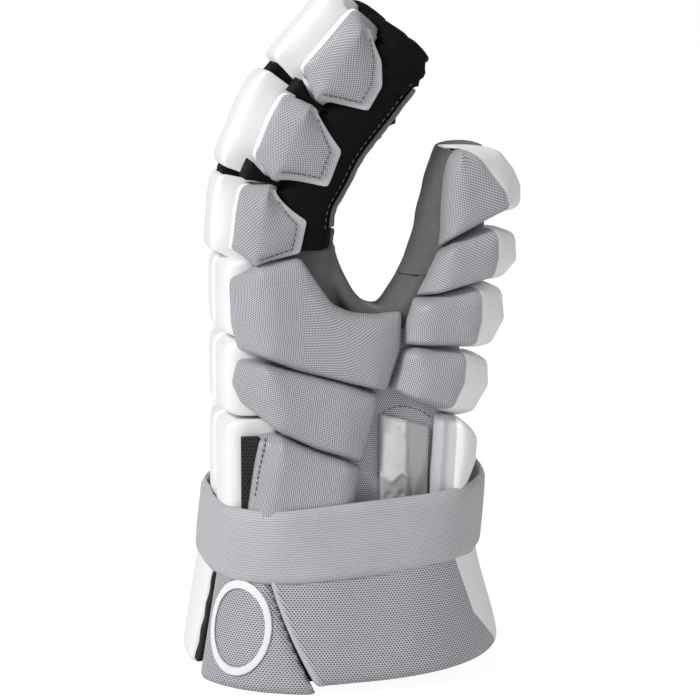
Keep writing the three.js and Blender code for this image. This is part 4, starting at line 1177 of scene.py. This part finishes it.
def swellPads(jobs):
    covers = [job["obj"].data for job in jobs]
    shapes = [(valuesOf(cover.vertices, "co", 3), [f.vertices for f in cover.polygons]) for cover in covers]
    points, faces = joined(shapes)
    points = np.array(points) * swell["scale"]
    mesh = bpy.data.meshes.new("swelling")
    mesh.from_pydata(points.tolist(), [], faces)
    obj = linked("swelling", mesh)
    group = obj.vertex_groups.new(name="held")
    for k, free in enumerate(np.concatenate([job["free"] for job in jobs])):
        group.add([k], float(1 - free), "REPLACE")
    cloth = obj.modifiers.new("cloth", "CLOTH")
    settings = cloth.settings
    settings.quality = swell["quality"]
    settings.mass = swell["mass"]
    settings.tension_stiffness = settings.compression_stiffness = swell["stretch"]
    settings.bending_stiffness = swell["bend"]
    settings.use_pressure = True
    settings.uniform_pressure_force = swell["pressure"]
    settings.vertex_group_mass = "held"
    settings.pin_stiffness = 1.0
    settings.effector_weights.gravity = 0
    cloth.collision_settings.use_collision = False
    cloth.point_cache.frame_start = 1
    cloth.point_cache.frame_end = swell["frames"]
    scene = bpy.context.scene
    for number in range(1, swell["frames"] + 1):
        scene.frame_set(number)
    shaped = obj.evaluated_get(bpy.context.evaluated_depsgraph_get())
    move = (valuesOf(shaped.data.vertices, "co", 3) - points) / swell["scale"]
    length = np.linalg.norm(move, axis=1)
    cap = swell["cap"] / 1000
    move *= (np.minimum(length, cap) / np.maximum(length, 1e-12))[:, None]
    print("pads swelled by", round(float(length.max()) * 1000, 2), "mm before the cap")
    scene.frame_set(1)
    bpy.data.objects.remove(obj, do_unlink=True)
    start = 0
    for cover, (places, _) in zip(covers, shapes):
        cover.vertices.foreach_set("co", (places + move[start:start + len(places)]).ravel())
        cover.update()
        start += len(places)


swellPads(padJobs)
for job in padJobs:
    modifier = job["obj"].modifiers.new("round", "SUBSURF")
    modifier.levels = modifier.render_levels = 1
print("pads swelled")


# Palm and wrist shell

palmRows = [
    (0, 1, 1.04, 2.4), (0.16, 0.96, 1.04, 2.4), (0.34, 0.62, 1.02, 2.6), (0.52, 0.3, 1, 2.9),
    (0.72, 0.09, 1, 3.2), (0.88, 0.01, 1, 3.5), (1, 0, 1, 3.6),
]
palmTable = [dict(zip(("up", "palm", "wide", "square"), row)) for row in palmRows]
palmSizes = {"knuckle": 40.0, "wrist": 99.0, "knuckleRise": 2.0, "wall": 2.0}


def handRings():
    rings = []
    for up in np.linspace(0, 1, 60):
        row = tableAt(palmTable, "up", up)
        back = handSizes["backX"] - palmSizes["knuckleRise"] * up
        palm = handSizes["backX"] + mix(palmSizes["knuckle"], palmSizes["wrist"], row["palm"])
        z = mix(handSizes["bottomShell"], handSizes["knuckleZ"], up)
        half = handSizes["width"] / 2 * row["wide"]
        ring = []
        for w, d in roundSection(half, (palm - back) / 2, row["square"], 72):
            ring.append(((back + palm) / 2 + d + archAt(w) * max(0, -2 * d / (palm - back)), w, z))
        rings.append(ring)
    return np.array(rings)


def joinedUnion(name, parts, voxel):
    obj = makeMesh(name, *joined(parts))
    remesh = obj.modifiers.new("union", "REMESH")
    remesh.mode = "VOXEL"
    remesh.voxel_size = voxel / 1000
    return evaluated(obj)


# the web's edge between thumb and index finger, (x, z) seen from the thumb's side
webLine = [
    (-12, 207), (-11.5, 192), (-9.5, 181), (-4.5, 173.5), (1.5, 169.5), (8, 168.3), (13, 171), (17, 178),
    (21, 187), (23.5, 196),
]
webSizes = {"front": -45.6, "rear": -14.0, "thickness": 9.0}
middle, half = (webSizes["front"] + webSizes["rear"]) / 2, (webSizes["rear"] - webSizes["front"]) / 2
line = eased(spread(webLine, [4] * (len(webLine) - 1)), 6)
rings = []
for i, (x, z) in enumerate(line):
    along = unit(line[min(i + 1, len(line) - 1)] - line[max(i - 1, 0)])
    away = np.array([along[1], -along[0]])
    ring = []
    grown = smoothStep(i / 9)  # thin where it leaves the finger
    thickness = webSizes["thickness"] * (0.15 + 0.85 * grown)
    for w, d in roundSection(half, thickness / 2, 3.0, 28):
        px, pz = np.array([x, z]) + away * (webSizes["thickness"] * (1 - grown) * 0.6 + thickness / 2 - d)
        ring.append((px, middle + w, pz))
    rings.append(ring)
web = tubeMesh(rings)[:2]

hand = tubeMesh(handRings())[:2]
root = tubeMesh(thumbRings(0, 0.25 * thumbSizes["topZ"], 190))[:2]
shellMesh = joinedUnion("shell", [hand, root, web], 1.5)
bm = bmesh.new()
bm.from_mesh(shellMesh)
cutLow = toFrame((0, 0, handSizes["bottomShell"] + 1))
geom = bm.verts[:] + bm.edges[:] + bm.faces[:]
bmesh.ops.bisect_plane(bm, geom=geom, plane_co=cutLow, plane_no=(0, 0, -1), clear_outer=True)
thumbEdge = toFrame((12, 0, thumbSizes["splitZ"]))
geom = []
for element in bm.verts[:] + bm.edges[:] + bm.faces[:]:
    corners = [v.co for v in ([element] if isinstance(element, bmesh.types.BMVert) else element.verts)]
    if min(c.x for c in corners) > thumbEdge[0] and min(c.z for c in corners) > thumbEdge[2] - 0.006:
        geom.append(element)
bmesh.ops.bisect_plane(bm, geom=geom, plane_co=thumbEdge, plane_no=(0, 0, 1), clear_outer=True)
topZ = toFrame((0, 0, handSizes["knuckleZ"] - 0.4))[2]
holes = []  # the ways into the fingers
for face in bm.faces:
    centre = np.array(face.calc_center_median()) * 1000 - frameShift
    if face.calc_center_median().z > topZ - 0.0004 and abs(face.normal.z) > 0.7:
        for line in fingerLines:
            s = (centre[2] - fingerSizes["baseZ"]) / line.at(18)[1][2]
            point, along, across, out = line.at(s)
            w, d = np.dot(centre - point, across), np.dot(centre - point, out)
            if (abs(w) / 9.6) ** 2.5 + (abs(d) / 12.8) ** 2.5 < 1:
                holes.append(face)
                break
bmesh.ops.delete(bm, geom=holes, context="FACES")
for _ in range(3):
    inside = [v for v in bm.verts if not v.is_boundary]
    bmesh.ops.smooth_vert(bm, verts=inside, factor=0.5, use_axis_x=True, use_axis_y=True, use_axis_z=True)
bm.to_mesh(shellMesh)
bm.free()
shell = linked("palm_shell_skin", shellMesh)
wall = shell.modifiers.new("wall", "SOLIDIFY")
wall.thickness = palmSizes["wall"] / 1000
wall.offset = -1
solid = evaluated(shell)
solid.materials.clear()
for material in (suedeMaterial, padMaterial, liningMaterial):
    solid.materials.append(material)
# grey mesh on the sides and the back of the hand, lining within, suede elsewhere
normals = valuesOf(solid.polygons, "normal", 3)
centres = valuesOf(solid.polygons, "center", 3) * 1000 - frameShift
kinds = np.zeros(len(solid.polygons), np.int32)
facingOut = (normals[:, :2] * (centres - np.array([-20, 0, 0]))[:, :2]).sum(1) > 0
webTop = np.where(centres[:, 1] < 0, 159, 124)
kinds[(abs(centres[:, 1]) > 36) & (normals[:, 1] * centres[:, 1] > 0) & facingOut & (centres[:, 2] < webTop)] = 1
kinds[(normals[:, 0] < -0.5) & (centres[:, 0] < -44) & facingOut] = 1
kinds[~facingOut & (centres[:, 2] < 100)] = 2
solid.polygons.foreach_set("material_index", kinds)
co = valuesOf(solid.vertices, "co", 3)[valuesOf(solid.loops, "vertex_index")] * 1000
flat = np.stack([co[:, 0] + co[:, 1] * 0.3, co[:, 2]], 1)
solid.uv_layers.new(name="weave").data.foreach_set("uv", flat.astype(np.float32).ravel())
tone = np.full(len(solid.vertices), -1.5, np.float32)
solid.attributes.new("tone", "FLOAT", "POINT").data.foreach_set("value", tone)
solid.shade_smooth()
keep(linked("palm_shell_cloth", solid), ["palm_shell"], "grey_suede")
print("palm shell ready,", len(solid.polygons), "faces")


# Plate and vent at the wrist

plateSizes = {"lowX": 3.5, "width": 24.0, "lowZ": 64.0, "topZ": 121.0, "slope": 0.28, "thickness": 2.4, "ridgeZ": 91.5}
pips = ((0.16, 84), (0.42, 83.5), (0.63, 83), (0.4, 76.5), (0.2, 113.5), (0.4, 114), (0.52, 110))
nx, nz = 30, 60
outer, inner, frost = [], [], []
for i in range(nx + 1):
    u = i / nx
    x = plateSizes["lowX"] + plateSizes["width"] * u
    rowOut, rowIn = [], []
    for j in range(nz + 1):
        v = j / nz
        z = mix(plateSizes["lowZ"], plateSizes["topZ"] - plateSizes["slope"] * (x - plateSizes["lowX"]), v)
        fromEdge = min(u, 1 - u) * plateSizes["width"]
        seat = seated(np.array([x, -62.0, z]), np.array([0, 1.0, 0]), 20, 0.0)
        y = seat[1] - plateSizes["thickness"] + edgeFall(fromEdge, 1.6, 1.4) + edgeFall((1 - v) * 57, 2.5, 1.6)
        # a raised panel above a wavy ridge, and small pips
        ridge = plateSizes["ridgeZ"] + 1.8 * math.cos(u * 14)
        panel = smoothStep((z - ridge) / 1.2) * smoothStep((0.56 - u) * 24 / 1.5) * smoothStep(u * 24 / 2.5)
        y -= 1.5 * panel * (0.75 + 0.25 * math.cos((u - 0.28) * 9)) * (1 - 0.5 * smoothStep((z - 112) / 6))
        y -= 0.8 * math.exp(-((z - ridge) / 0.9) ** 2) * smoothStep((0.62 - u) * 24 / 1.5)
        y -= 0.9 * smoothStep((0.6 - u) * 24 / 1.2) * (1 - smoothStep((z - ridge) / 1.2))
        for pu, pz in pips:
            y += 0.75 * math.exp(-(((u - pu) * plateSizes["width"]) ** 2 + (z - pz) ** 2) / 0.9)
        rowOut.append((x, y, z))
        rowIn.append(tuple(seat))
        onRidge = math.exp(-((z - ridge) / 1.2) ** 2) * smoothStep((0.62 - u) * 16)
        frost.append(0.25 + 0.75 * panel + 0.3 * onRidge)
    outer.append(rowOut)
    inner.append(rowIn)
points, faces, uv = blockMesh(np.array(outer), np.array(inner), 1)
frost = np.clip(np.concatenate([frost, frost, np.full(len(points) - 2 * len(frost), 0.5)]), 0, 1)
keep(makeMesh("clear_plate", points, faces, uv, {"tone": frost}, clearMaterial), ["clear_insert"], "clear_plastic")

ventSizes = {"lowZ": 64.0, "topZ": 112.0}
ventSection = [(-51.3, -42.3), (-51.3, -47.3), (-59.3, -44.8), (-59.3, -42.3)]
rings = []
for z in np.linspace(ventSizes["lowZ"], ventSizes["topZ"], 30):
    path = spread([*ventSection, ventSection[0]], (4, 8, 3, 8))[:-1]
    rings.append([(x, y, z) for x, y in path])
points, faces, uv = tubeMesh(rings)
keep(makeMesh("vent_panel", points, faces, uv, material=ventMaterial), ["vent_mesh"], "black_mesh")


# Printed ring on the badge flap

badge = {"angle": -139.5, "z": 24.0, "tall": 21.9, "wide": 17.5, "band": 0.83, "lift": 0.45}
section = [(1, -0.6), (1, 0.7), (0.985, 1), (0.95, 1), (0.91, 1), (0.87, 1), (0.845, 1)]  # (share out, lift)
section += [(badge["band"], 0.7), (badge["band"], -0.6)]
rings = []
for k in range(96):
    a = 2 * math.pi * k / 96
    ring = []
    for share, lift in section:
        z = badge["z"] + badge["tall"] * share * math.sin(a)
        reach = badge["wide"] * share * math.cos(a)
        inset = -badge["lift"] * lift - 0.75
        step = math.copysign(0.2, reach)
        angle, point, walked = badge["angle"], cuffPoint(badge["angle"], z, inset), 0.0
        while walked < abs(reach):
            following = cuffPoint(angle + step, z, inset)
            walked += np.linalg.norm(following - point)
            angle, point = angle + step, following
        ring.append(point)
    rings.append(ring)
points, faces, uv = tubeMesh(rings, closedRun=True)
keep(makeMesh("badge_ring", points, faces, uv, material=printMaterial), [], "white_cover")
print("plate, vent and ring ready")


# Stitches

def buildStitchRow():
    tree = bpy.data.node_groups.new("stitchRow", "GeometryNodeTree")
    for label, kind, value in (("Geometry", "NodeSocketGeometry", None), ("Pitch", "NodeSocketFloat", 0.0026),
                               ("Length", "NodeSocketFloat", 0.0016), ("Thickness", "NodeSocketFloat", 0.0006),
                               ("Thread", "NodeSocketMaterial", None)):
        socket = tree.interface.new_socket(label, in_out="INPUT", socket_type=kind)
        if value is not None:
            socket.default_value = value
    tree.interface.new_socket("Geometry", in_out="OUTPUT", socket_type="NodeSocketGeometry")
    given, result = tree.nodes.new("NodeGroupInput"), tree.nodes.new("NodeGroupOutput")
    toCurve = tree.nodes.new("GeometryNodeMeshToCurve")
    points = tree.nodes.new("GeometryNodeCurveToPoints")
    points.mode = "LENGTH"
    stitch = tree.nodes.new("GeometryNodeMeshCylinder")
    stitch.inputs["Vertices"].default_value = 6
    radius = tree.nodes.new("ShaderNodeMath")
    radius.operation = "MULTIPLY"
    radius.inputs[1].default_value = 0.5
    place = tree.nodes.new("GeometryNodeInstanceOnPoints")
    real = tree.nodes.new("GeometryNodeRealizeInstances")
    dressed = tree.nodes.new("GeometryNodeSetMaterial")
    link = tree.links.new
    link(given.outputs["Geometry"], toCurve.inputs[0])
    link(toCurve.outputs[0], points.inputs["Curve"])
    link(given.outputs["Pitch"], points.inputs["Length"])
    link(given.outputs["Thickness"], radius.inputs[0])
    link(radius.outputs[0], stitch.inputs["Radius"])
    link(given.outputs["Length"], stitch.inputs["Depth"])
    link(points.outputs["Points"], place.inputs["Points"])
    link(stitch.outputs["Mesh"], place.inputs["Instance"])
    link(points.outputs["Rotation"], place.inputs["Rotation"])
    link(place.outputs[0], real.inputs[0])
    link(real.outputs[0], dressed.inputs["Geometry"])
    link(given.outputs["Thread"], dressed.inputs["Material"])
    link(dressed.outputs[0], result.inputs[0])
    return tree


stitchRow = buildStitchRow()


def addStitches(name, paths, material, pitch, length, thickness, slotName):
    points, edges = [], []
    for path in paths:
        start = len(points)
        points += [*path]
        edges += [(start + k, start + k + 1) for k in range(len(path) - 1)]
    mesh = bpy.data.meshes.new(name + "_path")
    mesh.from_pydata(toFrame(points).tolist(), edges, [])
    guide = linked(name + "_path", mesh)
    modifier = guide.modifiers.new("stitches", "NODES")
    modifier.node_group = stitchRow
    names = {item.name: item.identifier for item in stitchRow.interface.items_tree if item.in_out == "INPUT"}
    modifier[names["Pitch"]] = pitch / 1000
    modifier[names["Length"]] = length / 1000
    modifier[names["Thickness"]] = thickness / 1000
    modifier[names["Thread"]] = material
    result = evaluated(guide)
    if not result.materials:
        result.materials.append(material)
    keep(linked(name, result), [], slotName)


flange = mix(lowSidePad[1, 12:-1], lowSidePad[2, 12:-1], 0.4) + np.array([0, -0.35, 0])
stitchPaths["dark"].append(flange)
overPlate = [(6.4, 0, 121.4), (9.7, 0, 123.2), (14.5, 0, 123.8), (19.3, 0, 122.8), (24, 0, 121), (27.4, 0, 118.6)]
arc = spread(overPlate, [3] * 5)
for point in arc:
    point[1] = seated(np.array([point[0], -62.0, point[2]]), np.array([0, 1.0, 0]), 20, 0.0)[1] - 0.1
stitchPaths["dark"].append(arc)
addStitches("tab_stitches", stitchPaths["dark"], threadDark, 2.4, 1.5, 0.55, "black_mesh")
addStitches("grip_stitches", stitchPaths["pale"], threadPale, 3.2, 1.7, 0.35, "grey_mesh")
print("stitches ready")

for piece in pieces:
    obj = piece["obj"]
    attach(obj, "root")
    if piece["nodes"]:
        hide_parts(*piece["nodes"])


# Floor, light and camera

stageLook = {
    "floorSize": 40.0, "floor": (0.9, 0.9, 0.9, 1), "glow": 0.85, "glowPower": 1.12, "world": 0.34,
    "key": 29.0, "fill": 3.6, "top": 6.0, "aim": (0, 0, 0.15),
}
mesh = bpy.data.meshes.new("floor")
half = stageLook["floorSize"] / 2
mesh.from_pydata([(-half, -half, 0), (half, -half, 0), (half, half, 0), (-half, half, 0)], [], [(0, 1, 2, 3)])
floor = linked("floor", mesh)
floorMaterial, tree, shader = newMaterial("paleFloor")
shader.inputs["Base Color"].default_value = stageLook["floor"]
shader.inputs["Roughness"].default_value = 0.9
# seen by the camera, the floor goes over into the white of the studio
output = next(node for node in tree.nodes if node.type == "OUTPUT_MATERIAL")
glow = addNode(tree, "ShaderNodeEmission", {"Color": (1, 1, 1, 1), "Strength": stageLook["glowPower"]}).outputs[0]
byCamera = addNode(tree, "ShaderNodeLightPath").outputs["Is Camera Ray"]
seenFloor = maths(tree, "MULTIPLY", byCamera, stageLook["glow"])
blended = addNode(tree, "ShaderNodeMixShader", {0: seenFloor, 1: shader.outputs[0], 2: glow})
tree.links.new(blended.outputs[0], output.inputs[0])
mesh.materials.append(floorMaterial)

world = bpy.data.worlds.new("studio")
bpy.context.scene.world = world
world.use_nodes = True
tree = world.node_tree
tree.nodes.clear()
output = tree.nodes.new("ShaderNodeOutputWorld")
soft = addNode(tree, "ShaderNodeBackground", {"Color": (1, 1, 1, 1), "Strength": stageLook["world"]})
seen = addNode(tree, "ShaderNodeBackground", {"Color": (1, 1, 1, 1), "Strength": 1.0})
byCamera = addNode(tree, "ShaderNodeLightPath").outputs["Is Camera Ray"]
chosen = addNode(tree, "ShaderNodeMixShader", {0: byCamera, 1: soft.outputs[0], 2: seen.outputs[0]})
tree.links.new(chosen.outputs[0], output.inputs[0])


def aimed(name, data, place, target):
    obj = linked(name, data)
    obj.location = place
    obj.rotation_euler = (Vector(target) - Vector(place)).to_track_quat("-Z", "Y").to_euler()
    return obj


def addLight(name, place, size):
    light = bpy.data.lights.new(name + "Light", "AREA")
    light.shape = "SQUARE"
    light.size = size
    light.energy = stageLook[name]
    aimed(name + "Light", light, place, stageLook["aim"])


addLight("key", (-1.45, -0.9, 1.35), 0.5)
addLight("fill", (1.2, -1.4, 0.7), 1.0)
addLight("top", (0.1, 0.5, 1.8), 0.8)

cameraSizes = {
    "place": (-0.2430, -1.1595, 0.3357), "target": (0.00335, -0.00022, 0.148), "lens": 131.3, "sensor": 36.0,
}
camera = bpy.data.cameras.new("camera")
camera.lens = cameraSizes["lens"]
camera.sensor_width = cameraSizes["sensor"]
camera.clip_start = 0.05
bpy.context.scene.camera = aimed("camera", camera, cameraSizes["place"], cameraSizes["target"])
bpy.context.scene.view_settings.view_transform = "Standard"
bpy.context.scene.view_settings.look = "None"
print("light and camera ready")
